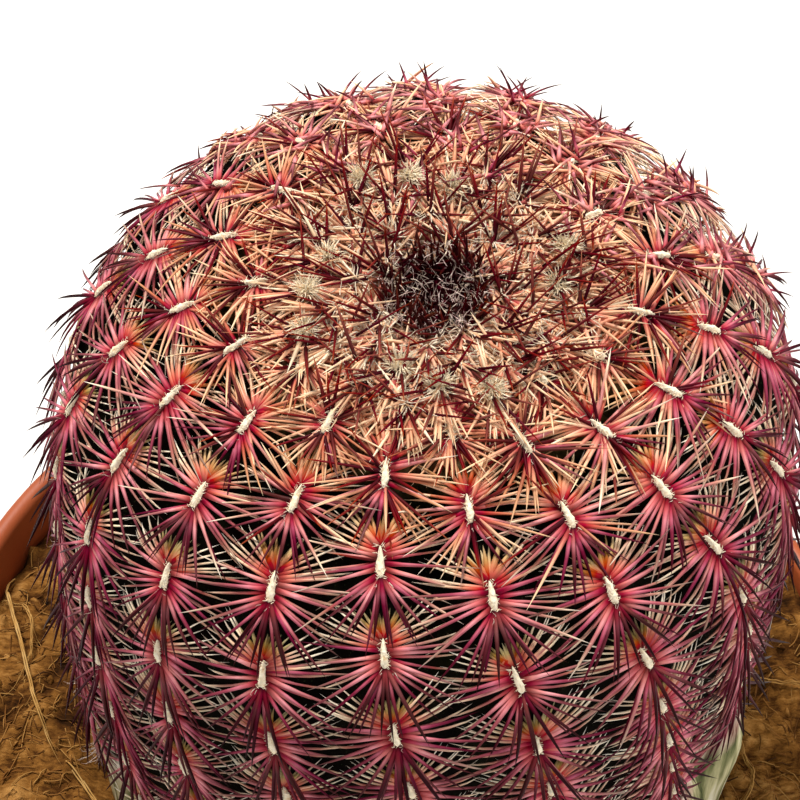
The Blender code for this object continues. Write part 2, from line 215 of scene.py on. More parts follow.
# Pot
POT_HEIGHT = 95 * MM
LIP_RADIUS = 54.6 * MM
LIP_BEAD = 1.25 * MM
WALL = 1.5 * MM
FLOOR_UNDERSIDE = 3 * MM
FLOOR_TOP = 5 * MM
FOOT_INNER = 32 * MM
FOOT_OUTER = 38 * MM
FOOT_ROUND = 0.8 * MM
BODY_TOP_RADIUS = 52.4 * MM
COLLAR_FOOT = 78 * MM
COLLAR_RADIUS = BODY_TOP_RADIUS + 1.4 * MM
COLLAR_SLOPE = 1.5 * MM  # half the height over which the wall's inside widens into the collar
COLLAR_ROUND = 0.45 * MM
POT_SEGMENTS = 180
DRAIN_HOLES = 6
DRAIN_RADIUS = 4 * MM
DRAIN_CIRCLE = 22 * MM
DRAIN_SEGMENTS = 32
FOOT_NOTCHES = 4
NOTCH_WIDTH = 6 * MM
NOTCH_HEIGHT = 2.2 * MM
CUT_PAST = 2 * MM  # how far a cutter reaches past what it cuts


# ---------------------------------------------------------------- building blocks


def linear(colour):
    """A hex sRGB colour as linear red, green, blue and alpha."""
    values = []
    for i in (1, 3, 5):
        value = int(colour[i : i + 2], 16) / 255
        values.append(value / 12.92 if value <= 0.04045 else ((value + 0.055) / 1.055) ** 2.4)
    return (*values, 1.0)


def feed(made, inputs):
    """Sets a node's inputs, by socket name or place, each to a value, an output or a node's first output."""
    for key, value in inputs.items():
        if isinstance(value, bpy.types.Node):
            value = value.outputs[0]
        if isinstance(value, bpy.types.NodeSocket):
            made.id_data.links.new(value, made.inputs[key])
        else:
            made.inputs[key].default_value = value


def node(tree, kind, inputs=None, stops=None, **settings):
    """Adds a node. Inputs are as for feed; stops are a colour ramp's places and hex colours; settings are
    the node's own."""
    made = tree.nodes.new(kind)
    for name, value in settings.items():
        setattr(made, name, value)
    feed(made, inputs or {})
    if stops:
        ramp = made.color_ramp.elements
        while len(ramp) < len(stops):
            ramp.new(1.0)
        for element, (place, colour) in zip(ramp, stops):
            element.position = place
            element.color = linear(colour)
    return made


def new_material(name):
    """A material with a Principled shader: its tree and that shader."""
    made = bpy.data.materials.new(name)
    made.use_nodes = True
    return made, made.node_tree, made.node_tree.nodes["Principled BSDF"]


def layered(tree, shown, layers):
    """A colour under layers of others. Each is given as a reading, the readings at which it is missing and
    at its fullest, the share it then covers and its colour."""
    for reading, none, full, most, colour in layers:
        share = node(tree, "ShaderNodeMapRange", {0: reading, 1: none, 2: full, 4: most})
        shown = node(tree, "ShaderNodeMix", {0: share, 6: shown, 7: colour}, data_type="RGBA").outputs[2]
    return shown


def new_tree(name, numbers):
    """A geometry tree with named inputs, which are the geometry, numbers and the material: the tree and its
    inputs' outputs."""
    tree = bpy.data.node_groups.new(name, "GeometryNodeTree")
    tree.interface.new_socket("Geometry", in_out="INPUT", socket_type="NodeSocketGeometry")
    for label, value in numbers.items():
        kind = "NodeSocketInt" if isinstance(value, int) else "NodeSocketFloat"
        tree.interface.new_socket(label, in_out="INPUT", socket_type=kind).default_value = value
    tree.interface.new_socket("Material", in_out="INPUT", socket_type="NodeSocketMaterial")
    tree.interface.new_socket("Geometry", in_out="OUTPUT", socket_type="NodeSocketGeometry")
    return tree, tree.nodes.new("NodeGroupInput").outputs


def roughened(tree, geometry, texture, reach):
    """Geometry with its points moved by a noise texture's colour, up to half of reach each way."""
    colour = texture.outputs["Color"]
    centred = node(tree, "ShaderNodeVectorMath", {0: colour, 1: (0.5, 0.5, 0.5)}, operation="SUBTRACT")
    offset = node(tree, "ShaderNodeVectorMath", {0: centred, "Scale": reach}, operation="SCALE")
    return node(tree, "GeometryNodeSetPosition", {"Geometry": geometry, "Offset": offset})


def end_tree(tree, geometry, material):
    """The end of a geometry tree: smooth, real faces with their material."""
    smooth = node(tree, "GeometryNodeSetShadeSmooth", {"Geometry": geometry})
    real = node(tree, "GeometryNodeRealizeInstances", {"Geometry": smooth})
    coated = node(tree, "GeometryNodeSetMaterial", {"Geometry": real, "Material": material})
    node(tree, "NodeGroupOutput", {0: coated})
    return tree


def new_mesh(name, points, faces, edges=()):
    """A mesh of points, faces and loose edges."""
    made = bpy.data.meshes.new(name)
    made.from_pydata([tuple(p) for p in points], edges, faces)
    return made


def mark_points(mesh, label, values, kind="FLOAT", field="value"):
    """Gives every point of a mesh its own value."""
    mesh.attributes.new(label, kind, "POINT").data.foreach_set(field, values)


def link_object(name, mesh):
    """A new object in the scene that shows a mesh."""
    made = bpy.data.objects.new(name, mesh)
    bpy.context.scene.collection.objects.link(made)
    return made


def evaluated_mesh(piece):
    """What a piece looks like after its modifiers, as a mesh of its own."""
    depsgraph = bpy.context.evaluated_depsgraph_get()
    return bpy.data.meshes.new_from_object(piece.evaluated_get(depsgraph), depsgraph=depsgraph)


def grown(name, guide, tree, look, values):
    """The plain mesh object that a geometry tree makes from a guide mesh, with its look and with the
    tree's inputs set by name."""
    holder = link_object(name + "_guide", guide)
    modifier = holder.modifiers.new("grow", "NODES")
    modifier.node_group = tree
    values = {**values, "Material": look}
    for item in tree.interface.items_tree:
        if item.item_type == "SOCKET" and item.in_out == "INPUT" and item.name in values:
            modifier[item.identifier] = values[item.name]
    mesh = evaluated_mesh(holder)
    bpy.data.objects.remove(holder)
    mesh.name = name
    return link_object(name, mesh)


class Guides:
    """Lines of points with a few numbers at every point, for a geometry tree to sweep."""

    def __init__(self, *names):
        self.points = []
        self.edges = []
        self.values = {name: [] for name in names}

    def add(self, line, **values):
        start = len(self.points)
        self.points.extend(line)
        self.edges.extend((i, i + 1) for i in range(start, start + len(line) - 1))
        for name, store in self.values.items():
            store.extend([values.get(name, 0.0)] * len(line))

    def mesh(self):
        made = new_mesh("guide", self.points, [], self.edges)
        for label, store in self.values.items():
            mark_points(made, label, store)
        return made


def shown_as(piece, slot, *nodes):
    """Fixes a finished piece to the plant's only body, in the place of its model nodes."""
    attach(piece, "root")
    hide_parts(*nodes)


def smoothstep(x, start, end):
    """0 before start, 1 after end, and an even S between them."""
    t = min(1.0, max(0.0, (x - start) / (end - start)))
    return t * t * (3 - 2 * t)


def lerp(a, b, t):
    """The value a share t of the way from a to b."""
    return a + (b - a) * t


def round_point(radius, angle, height):
    """A point at a radius, an angle and a height round the pot's axis."""
    return Vector((radius * math.cos(angle), radius * math.sin(angle), height))


def smooth_course(marks, steps):
    """Close points of a smooth curve, a Catmull-Rom one, from the second mark up to the last but one."""
    course = []
    for a, b, c, d in zip(marks, marks[1:], marks[2:], marks[3:]):
        bend = 2 * a - 5 * b + 4 * c - d
        twist = -a + 3 * b - 3 * c + d
        for i in range(steps):
            t = i / steps
            course.append(b + 0.5 * t * (c - a) + 0.5 * t * t * bend + 0.5 * t * t * t * twist)
    return course


# ---------------------------------------------------------------- the stem's shape


def crest_samples(points):
    """The crest line as close points in metres, and the arc length at each."""
    marks = [Vector(p) * MM for p in points]
    marks.insert(0, Vector((-marks[1].x, marks[1].y)))
    marks.append(2 * marks[-1] - marks[-2])
    line = smooth_course(marks, 12)
    line.append(marks[-2])
    arcs = [0.0]
    for a, b in zip(line, line[1:]):
        arcs.append(arcs[-1] + (b - a).length)
    return line, arcs


CREST, ARCS = crest_samples(CREST_LINE)
RING_TURN = Matrix.Rotation(CROWN_TILT, 3, Vector((-math.sin(LIGHT_SIDE), math.cos(LIGHT_SIDE), 0)))


def crest_at(arc):
    """The crest line's point and outward normal, both as radius and height, at an arc length."""
    i = min(len(ARCS) - 1, max(1, bisect.bisect_left(ARCS, arc)))
    a, b = CREST[i - 1], CREST[i]
    t = (arc - ARCS[i - 1]) / (ARCS[i] - ARCS[i - 1])
    along = (b - a).normalized()
    return a.lerp(b, t), Vector((-along.y, along.x))


def skin_point(arc, azimuth, lift):
    """A point over the ribs' crests: lift is the height above them, or less than 0 in a groove."""
    point, normal = crest_at(arc)
    ring = round_point(point.x + lift * normal.x, azimuth, lift * normal.y)
    return Vector((0, 0, SOIL_LEVEL + point.y)) + RING_TURN @ ring


def rib_azimuth(rib, arc):
    """Where a rib's crest is, as it winds round the stem."""
    return FIRST_RIB - 2 * math.pi * rib / RIBS + RIB_TWIST * (arc - RIB_REFERENCE)


def lofted(rings, top_pole, bottom_pole):
    """Points and outward faces of a closed skin over rings of equal length, listed from the top down and
    each counter-clockwise seen from above, with a pole point at either end."""
    count = len(rings[0])
    points = [top_pole]
    for ring in rings:
        points.extend(ring)
    points.append(bottom_pole)
    last = len(points) - 1
    foot = last - count
    faces = []
    for j in range(count):
        k = (j + 1) % count
        faces.append((0, 1 + j, 1 + k))
        faces.append((last, foot + k, foot + j))
        for i in range(len(rings) - 1):
            upper = 1 + i * count
            lower = upper + count
            faces.append((upper + j, lower + j, lower + k, upper + k))
    return points, faces


def closed_piece(name, points, faces, look):
    """A smooth mesh object of one closed skin."""
    mesh = new_mesh(name, points, faces)
    mesh.materials.append(look)
    mesh.shade_smooth()
    return link_object(name, mesh)


# ---------------------------------------------------------------- materials

# Patterns read Object coordinates in metres, so a scale of 1000 makes features of about a millimetre


def spine_material():
    """Spines: hard, slightly waxy needles. Short ones above the wool go from red-orange to khaki, the side
    ones from coral to cream, the lower ones from rose to mauve and the lowest are dark maroon, partly their
    own colour and partly painted shade for their sides that face down, away from the light. New spines in the
    crown are dark red-brown or tan, and the oldest ones, by the cork, are straw-coloured."""
    made, tree, shader = new_material("spine_horn")
    along = node(tree, "ShaderNodeAttribute", attribute_name="along").outputs["Fac"]
    family = node(tree, "ShaderNodeAttribute", attribute_name="family").outputs["Fac"]
    tint = node(tree, "ShaderNodeAttribute", attribute_name="tint").outputs["Fac"]
    ramps = [node(tree, "ShaderNodeValToRGB", {0: along}, stops) for stops in SPINE_RAMPS]
    steps = [(family, i - 1.0, float(i), 1.0, ramps[i]) for i in range(1, len(ramps))]
    shown = layered(tree, ramps[0], steps)
    # each spine's tint sets a random tone, and the darker tones are also made more saturated: painted shade
    # like that of spines lying in shadow
    varied = node(
        tree,
        "ShaderNodeHueSaturation",
        {
            "Hue": node(tree, "ShaderNodeMapRange", {0: tint, 3: 0.488, 4: 0.512}),
            "Saturation": node(tree, "ShaderNodeMapRange", {0: tint, 3: 1.16, 4: 0.87}),
            "Value": node(tree, "ShaderNodeMapRange", {0: tint, 3: 0.7, 4: 1.24}),
            "Color": shown,
        },
    )
    feed(shader, {"Base Color": varied, "Roughness": 0.45, "Specular IOR Level": 0.08})
    return made


def wool_material():
    """Areole wool: felted cream hairs, matt. The noise that roughens their bump also paints shade into the
    gaps between them, tan on fresh wool. It is grey-white round the oldest areoles and pinkish grey in the
    crown's hollow."""
    made, tree, shader = new_material("areole_felt")
    where = node(tree, "ShaderNodeTexCoord").outputs["Object"]
    felt_relief_and_shade = node(tree, "ShaderNodeTexNoise", {"Vector": where, "Scale": 2600.0, "Detail": 3.0})
    age = node(tree, "ShaderNodeAttribute", attribute_name="age").outputs["Fac"]
    fresh, old, dusky = (
        node(tree, "ShaderNodeValToRGB", {0: felt_relief_and_shade}, stops)
        for stops in (
            ((0.25, "#e4c090"), (0.4, "#fdeccc"), (1, "#fffaea")),
            ((0.3, "#b09484"), (0.8, "#f8ecdc")),
            ((0.3, "#b47c78"), (0.6, "#ffe8e0")),
        )
    )
    shown = layered(tree, fresh, ((age, 0.7, 0.95, 1.0, old), (age, 1.4, 1.8, 1.0, dusky)))
    bump = node(tree, "ShaderNodeBump", {"Height": felt_relief_and_shade, "Strength": 0.9, "Distance": 0.3 * MM})
    feed(shader, {"Base Color": shown, "Normal": bump, "Roughness": 0.95, "Specular IOR Level": 0.1})
    return made


def skin_material():
    """Stem skin: nearly black green with fine pale pores, partly its own dark green and partly painted shade
    of the gaps between the spines, where alone it shows. It is felted tan in the crown and olive round it.
    At the base it turns to streaky cream cork with grey-green shades, under a band of pale scarred skin."""
    made, tree, shader = new_material("cactus_skin")
    where = node(tree, "ShaderNodeTexCoord").outputs["Object"]
    patches = node(tree, "ShaderNodeTexNoise", {"Vector": where, "Scale": 220.0, "Detail": 4.0})
    fine = node(tree, "ShaderNodeTexNoise", {"Vector": where, "Scale": 1500.0, "Detail": 3.0})
    pores = node(tree, "ShaderNodeTexVoronoi", {"Vector": where, "Scale": 2200.0})
    drawn = node(tree, "ShaderNodeMapping", {"Vector": where, "Scale": (1.0, 1.0, 0.12)})
    streaks = node(tree, "ShaderNodeTexNoise", {"Vector": drawn, "Scale": 700.0, "Detail": 4.0})
    shades = node(tree, "ShaderNodeTexNoise", {"Vector": drawn, "Scale": 190.0, "Detail": 2.0})
    barky = node(tree, "ShaderNodeMix", {0: 0.6, 2: streaks, 3: shades})
    arc = node(tree, "ShaderNodeAttribute", attribute_name="arc").outputs["Fac"]
    bare = node(tree, "ShaderNodeAttribute", attribute_name="bare").outputs["Fac"]
    ragged = node(tree, "ShaderNodeMath", {0: patches, 1: 4 * MM, 2: bare}, operation="MULTIPLY_ADD")
    green, olive, felt, scar, cork = (
        node(tree, "ShaderNodeValToRGB", {0: pattern}, stops)
        for pattern, stops in (
            (patches, ((0.3, "#060302"), (0.55, "#0f0b06"), (0.8, "#1c1e10"))),
            (fine, ((0.3, "#3a2c18"), (0.55, "#82703e"), (0.8, "#b8a268"))),
            (fine, ((0.3, "#8a5038"), (0.5, "#c89474"), (0.75, "#f0d0b0"))),
            (streaks, ((0.35, "#7c5448"), (0.5, "#d0b09c"), (0.65, "#f0e4d4"))),
            (barky, ((0.38, "#2c3820"), (0.46, "#7c7c54"), (0.53, "#c4bc90"), (0.62, "#ece6cc"))),
        )
    )
    layers = (
        (pores, 0.24, 0.1, 0.3, linear("#3c4a30")),
        (arc, 21 * MM, 14 * MM, 1.0, olive),
        (arc, 19 * MM, 13 * MM, 1.0, felt),
        (arc, 5 * MM, 3.5 * MM, 1.0, linear("#2c0c0c")),
        (ragged, 0.5 * MM, 2.5 * MM, 1.0, scar),
        (ragged, 3.0 * MM, 6.5 * MM, 1.0, cork),
    )
    shown = layered(tree, green, layers)
    bump = node(tree, "ShaderNodeBump", {"Height": pores, "Strength": 0.3, "Distance": 0.2 * MM})
    feed(shader, {"Base Color": shown, "Normal": bump, "Roughness": 0.8, "Specular IOR Level": 0.04})
    return made


def coir_material():
    """Coconut coir: dry brown husk with fibrous streaks. Painted shade darkens the hollows between its clods
    and a painted tan highlight lightens their tops. Both come from the tint attribute, which on the plug is
    the clods' height and on the chips a random tone.
    """
    made, tree, shader = new_material("coconut_coir")
    where = node(tree, "ShaderNodeTexCoord").outputs["Object"]
    drawn = node(tree, "ShaderNodeMapping", {"Vector": where, "Scale": (1.0, 2.6, 1.0)})
    strand_look = {"Vector": drawn, "Scale": 700.0, "Detail": 6.0, "Roughness": 0.7}
    strands = node(tree, "ShaderNodeTexNoise", strand_look)
    lumps = node(tree, "ShaderNodeTexNoise", {"Vector": where, "Scale": 150.0, "Detail": 3.0})
    tint = node(tree, "ShaderNodeAttribute", attribute_name="tint").outputs["Fac"]
    blend = node(tree, "ShaderNodeMath", {0: strands, 1: lumps}, operation="MULTIPLY")
    # a low tint gives painted shade in the clods' hollows, and a high one a painted tan highlight on their
    # tops
    raised = node(tree, "ShaderNodeMath", {0: tint, 1: 0.22, 2: blend}, operation="MULTIPLY_ADD")
    stops = ((0.1, "#1a0c02"), (0.2, "#4a2b0d"), (0.32, "#865a27"), (0.5, "#ba894b"))
    brown = node(tree, "ShaderNodeValToRGB", {0: raised}, stops)
    bump = node(tree, "ShaderNodeBump", {"Height": strands, "Strength": 0.8, "Distance": 0.5 * MM})
    feed(shader, {"Base Color": brown, "Normal": bump, "Roughness": 0.95, "Specular IOR Level": 0.1})
    return made


def fibre_material():
    """Loose coir fibres: wiry, tan to pale straw, dull."""
    made, tree, shader = new_material("coir_fibre")
    where = node(tree, "ShaderNodeTexCoord").outputs["Object"]
    patches = node(tree, "ShaderNodeTexNoise", {"Vector": where, "Scale": 400.0, "Detail": 2.0})
    tint = node(tree, "ShaderNodeAttribute", attribute_name="tint").outputs["Fac"]
    mixed = node(tree, "ShaderNodeMath", {0: patches, 1: 0.4, 2: tint}, operation="MULTIPLY_ADD")
    stops = ((0.2, "#361e0a"), (0.5, "#825424"), (0.9, "#b48a4c"), (1.0, "#cca86c"))
    straw = node(tree, "ShaderNodeValToRGB", {0: mixed}, stops)
    feed(shader, {"Base Color": straw, "Roughness": 0.8, "Specular IOR Level": 0.15})
    return made


def pot_material():
    """Injection-moulded polypropylene in terracotta: satin, faintly mottled, a little rubbed and paler."""
    made, tree, shader = new_material("moulded_polypropylene")
    where = node(tree, "ShaderNodeTexCoord").outputs["Object"]
    flow = node(tree, "ShaderNodeMapping", {"Vector": where, "Scale": (1.0, 1.0, 0.25)})
    clouds = node(tree, "ShaderNodeTexNoise", {"Vector": flow, "Scale": 60.0, "Detail": 5.0})
    grain = node(tree, "ShaderNodeTexNoise", {"Vector": where, "Scale": 2500.0, "Detail": 2.0})
    stops = ((0.3, "#94461f"), (0.55, "#a6522c"), (0.8, "#b4663e"))
    terracotta = node(tree, "ShaderNodeValToRGB", {0: clouds}, stops)
    rough = node(tree, "ShaderNodeMapRange", {0: clouds, 3: 0.42, 4: 0.62})
    bump = node(tree, "ShaderNodeBump", {"Height": grain, "Strength": 0.25, "Distance": 0.1 * MM})
    feed(shader, {"Base Color": terracotta, "Normal": bump, "Roughness": rough, "IOR": 1.49})
    return made


# ---------------------------------------------------------------- geometry trees


def sweep_tree():
    """Turns guide lines into tapered round needles. Each line's own width and its share of the swell, which
    widens the first stretch, are attributes. The taper says how late it narrows; the waviness bends it."""
    numbers = {
        "Sides": 5, "Stations": 7, "Base Swell": 0.4, "Swell Length": 2.4 * MM, "Taper": 1.9,
        "Blunt Tip": 0.05, "Waviness": 0.0, "Wave Scale": 250.0, "Seed": 1,
    }
    tree, given = new_tree("tapered_needles", numbers)
    curves = node(tree, "GeometryNodeMeshToCurve", {0: given["Geometry"]})
    even = node(tree, "GeometryNodeResampleCurve", {"Curve": curves, "Count": given["Stations"]})
    spline = node(tree, "GeometryNodeSplineParameter")
    along = spline.outputs["Factor"]
    kept = node(tree, "GeometryNodeStoreNamedAttribute", {"Geometry": even, "Name": "along", "Value": along})
    sway = node(
        tree,
        "ShaderNodeTexNoise",
        {
            "Vector": node(tree, "GeometryNodeInputPosition"),
            "W": given["Seed"],
            "Scale": given["Wave Scale"],
            "Detail": 1.0,
        },
        noise_dimensions="4D",
    )
    reach = node(tree, "ShaderNodeMath", {0: along, 1: given["Waviness"]}, operation="MULTIPLY")
    waved = roughened(tree, kept, sway, reach)
    late = node(tree, "ShaderNodeMath", {0: along, 1: given["Taper"]}, operation="POWER")
    left = node(tree, "ShaderNodeMath", {0: 1.0, 1: late}, operation="SUBTRACT")
    needle = node(tree, "ShaderNodeMath", {0: left, 1: given["Blunt Tip"]}, operation="MAXIMUM")
    swollen = node(
        tree,
        "ShaderNodeMapRange",
        {0: spline.outputs["Length"], 1: given["Swell Length"], 2: 0.0, 3: 0.0, 4: given["Base Swell"]},
        interpolation_type="SMOOTHSTEP",
    )
    swelling = node(tree, "GeometryNodeInputNamedAttribute", {"Name": "swell"}, data_type="FLOAT")
    swell = node(tree, "ShaderNodeMath", {0: swollen, 1: swelling, 2: 1.0}, operation="MULTIPLY_ADD")
    radius = node(tree, "GeometryNodeInputNamedAttribute", {"Name": "width"}, data_type="FLOAT")
    for factor in (0.5, swell, needle):
        radius = node(tree, "ShaderNodeMath", {0: radius, 1: factor}, operation="MULTIPLY")
    outline = node(tree, "GeometryNodeCurvePrimitiveCircle", {"Resolution": given["Sides"], "Radius": 1.0})
    swept = node(
        tree,
        "GeometryNodeCurveToMesh",
        {"Curve": waved, "Profile Curve": outline, "Scale": radius, "Fill Caps": True},
    )
    return end_tree(tree, swept, given["Material"])


def ribbed_tree():
    """Presses the grooves between the ribs into a smooth stem. Every point carries its arc length, its
    place across the ribs and its direction out of the skin."""
    tree, given = new_tree(
        "ribbed_stem",
        {
            "Groove Depth": RIB_DEPTH,
            "Rise End": RIB_RISE_END,
            "Fade Start": RIB_FADE_START,
            "Fade End": RIB_FADE_END,
            "Roughness": 0.25 * MM,
            "Lump Scale": 260.0,
        },
    )
    arc = node(tree, "GeometryNodeInputNamedAttribute", {"Name": "arc"}, data_type="FLOAT")
    phase = node(tree, "GeometryNodeInputNamedAttribute", {"Name": "phase"}, data_type="FLOAT")
    out = node(tree, "GeometryNodeInputNamedAttribute", {"Name": "out"}, data_type="FLOAT_VECTOR")
    turn = node(tree, "ShaderNodeMath", {0: phase, 1: math.pi}, operation="MULTIPLY")
    wave = node(tree, "ShaderNodeMath", {0: turn}, operation="COSINE")
    crest = node(tree, "ShaderNodeMath", {0: wave}, operation="ABSOLUTE")
    hollow = node(tree, "ShaderNodeMath", {0: 1.0, 1: crest}, operation="SUBTRACT")
    depth = node(
        tree,
        "ShaderNodeMapRange",
        {0: arc, 1: 0.0, 2: given["Rise End"]},
        interpolation_type="SMOOTHSTEP",
    )
    fade = node(
        tree,
        "ShaderNodeMapRange",
        {0: arc, 1: given["Fade Start"], 2: given["Fade End"], 3: 1.0, 4: 0.0},
        interpolation_type="SMOOTHSTEP",
    )
    for factor in (fade, hollow, given["Groove Depth"]):
        depth = node(tree, "ShaderNodeMath", {0: depth, 1: factor}, operation="MULTIPLY")
    lumps = node(
        tree,
        "ShaderNodeTexNoise",
        {"Vector": node(tree, "GeometryNodeInputPosition"), "Scale": given["Lump Scale"], "Detail": 3.0},
    )
    middle = node(tree, "ShaderNodeMath", {0: lumps, 1: 0.5}, operation="SUBTRACT")
    bumps = node(tree, "ShaderNodeMath", {0: middle, 1: given["Roughness"]}, operation="MULTIPLY")
    lift = node(tree, "ShaderNodeMath", {0: bumps, 1: depth}, operation="SUBTRACT")
    offset = node(tree, "ShaderNodeVectorMath", {0: out, "Scale": lift}, operation="SCALE")
    pressed = node(tree, "GeometryNodeSetPosition", {"Geometry": given["Geometry"], "Offset": offset})
    return end_tree(tree, pressed, given["Material"])


def scatter_tree():
    """Strews lumpy chips over a surface: points, an icosphere on each with its own turn and size, then a
    noise that makes the lumps."""
    numbers = {"Density": 1.0, "Chip Size": 1.5 * MM, "Lumpiness": 0.8 * MM, "Seed": 1}
    tree, given = new_tree("strewn_chips", numbers)
    seed = given["Seed"]
    spots = node(
        tree,
        "GeometryNodeDistributePointsOnFaces",
        {"Mesh": given["Geometry"], "Density": given["Density"], "Seed": seed},
    )
    turn, size = (
        node(tree, "FunctionNodeRandomValue", {0: least, 1: most, "Seed": seed}, data_type="FLOAT_VECTOR")
        for least, most in (((0, 0, 0), (ANY_WAY,) * 3), ((0.6, 0.3, 0.2), (2.4, 0.7, 0.5)))
    )
    tint = node(tree, "FunctionNodeRandomValue", {"Seed": seed}, data_type="FLOAT").outputs[1]
    chip = node(tree, "GeometryNodeMeshIcoSphere", {"Radius": given["Chip Size"], "Subdivisions": 2})
    placed = node(
        tree,
        "GeometryNodeInstanceOnPoints",
        {"Points": spots, "Instance": chip, "Rotation": turn, "Scale": size},
    )
    tinted = node(
        tree,
        "GeometryNodeStoreNamedAttribute",
        {"Geometry": placed, "Name": "tint", "Value": tint},
        domain="INSTANCE",
    )
    real = node(tree, "GeometryNodeRealizeInstances", {"Geometry": tinted})
    place = node(tree, "GeometryNodeInputPosition")
    lumps = node(tree, "ShaderNodeTexNoise", {"Vector": place, "Scale": 900.0, "Detail": 2.0})
    return end_tree(tree, roughened(tree, real, lumps, given["Lumpiness"]), given["Material"])


# ---------------------------------------------------------------- areoles and their spines


def areole_frame(rib, arc, lift=0.0):
    """An areole's place, and its directions down the rib, to the side and out of the skin."""
    step = 0.2 * MM
    azimuth = rib_azimuth(rib, arc)
    place = skin_point(arc, azimuth, lift)
    down = skin_point(arc + step, rib_azimuth(rib, arc + step), lift) - place
    side = skin_point(arc, azimuth + 0.01, lift) - place
    down.normalize()
    out = side.cross(down).normalized()
    if out.dot(place - Vector((0, 0, SOIL_LEVEL + 30 * MM))) < 0:
        out.negate()
    side = down.cross(out).normalized()
    return place, down, side, out


def bare_height(azimuth):
    """How high over the coir the corky base, which has no areoles, reaches at an azimuth."""
    return SOIL_RISE + BARE_BASE + BARE_RISE * (1 + math.cos(azimuth - BARE_SIDE))


def areole_arcs(rib):
    """Arc lengths of a rib's areoles, from outside the crown's tuft down to the corky base."""
    arc = (ROW_START - ROW_SHIFT * AREOLE_PITCH * rib) % AREOLE_PITCH
    arcs = []
    while skin_point(arc, rib_azimuth(rib, arc), 0).z > SOIL_LEVEL + bare_height(rib_azimuth(rib, arc)):
        if arc > FIRST_COMB:
            arcs.append(arc)
        arc += AREOLE_PITCH
    return arcs


def aimed(away, side, out, angle, rise):
    """A direction at an angle from away round to the side: its part along the skin, and with its rise."""
    flat = away * math.cos(angle) + side * math.sin(angle)
    return flat, flat * math.cos(rise) + out * math.sin(rise)


def bent_line(start, heading, out, length, bend, points=6):
    """A line that leaves its start along heading and turns evenly by the bend, towards the skin unless the
    bend is less than 0."""
    line = [start]
    axis = heading.cross(out)
    if axis.length < 1e-6:
        axis = heading.orthogonal()
    axis.normalize()
    for i in range(points - 1):
        turned = Matrix.Rotation(-bend * (i + 0.5) / (points - 1), 3, axis) @ heading
        line.append(line[-1] + turned * (length / (points - 1)))
    return line


def spine_family(rng, family, tan, dusk, old):
    """The colour family of one spine: mostly its place in the comb's, but new ones are tan or dark, those on
    the shoulder are paler than on the side, and the oldest are straw."""
    if rng.random() < tan:
        return NEW_DARK if rng.random() < 0.17 or family == DARK else NEW_TAN
    if family < LOWER and rng.random() < 0.6 * old:
        return PALE
    if family == HOOD:
        return lerp(HOOD, KHAKI, dusk)
    if family == DARK:
        return lerp(LOWER, DARK, dusk) + rng.uniform(-0.2, 0.0)
    paler = 0.9 * (1 - dusk) if family > UNDER else 0
    return family - paler + rng.uniform(-0.3, 0.35)


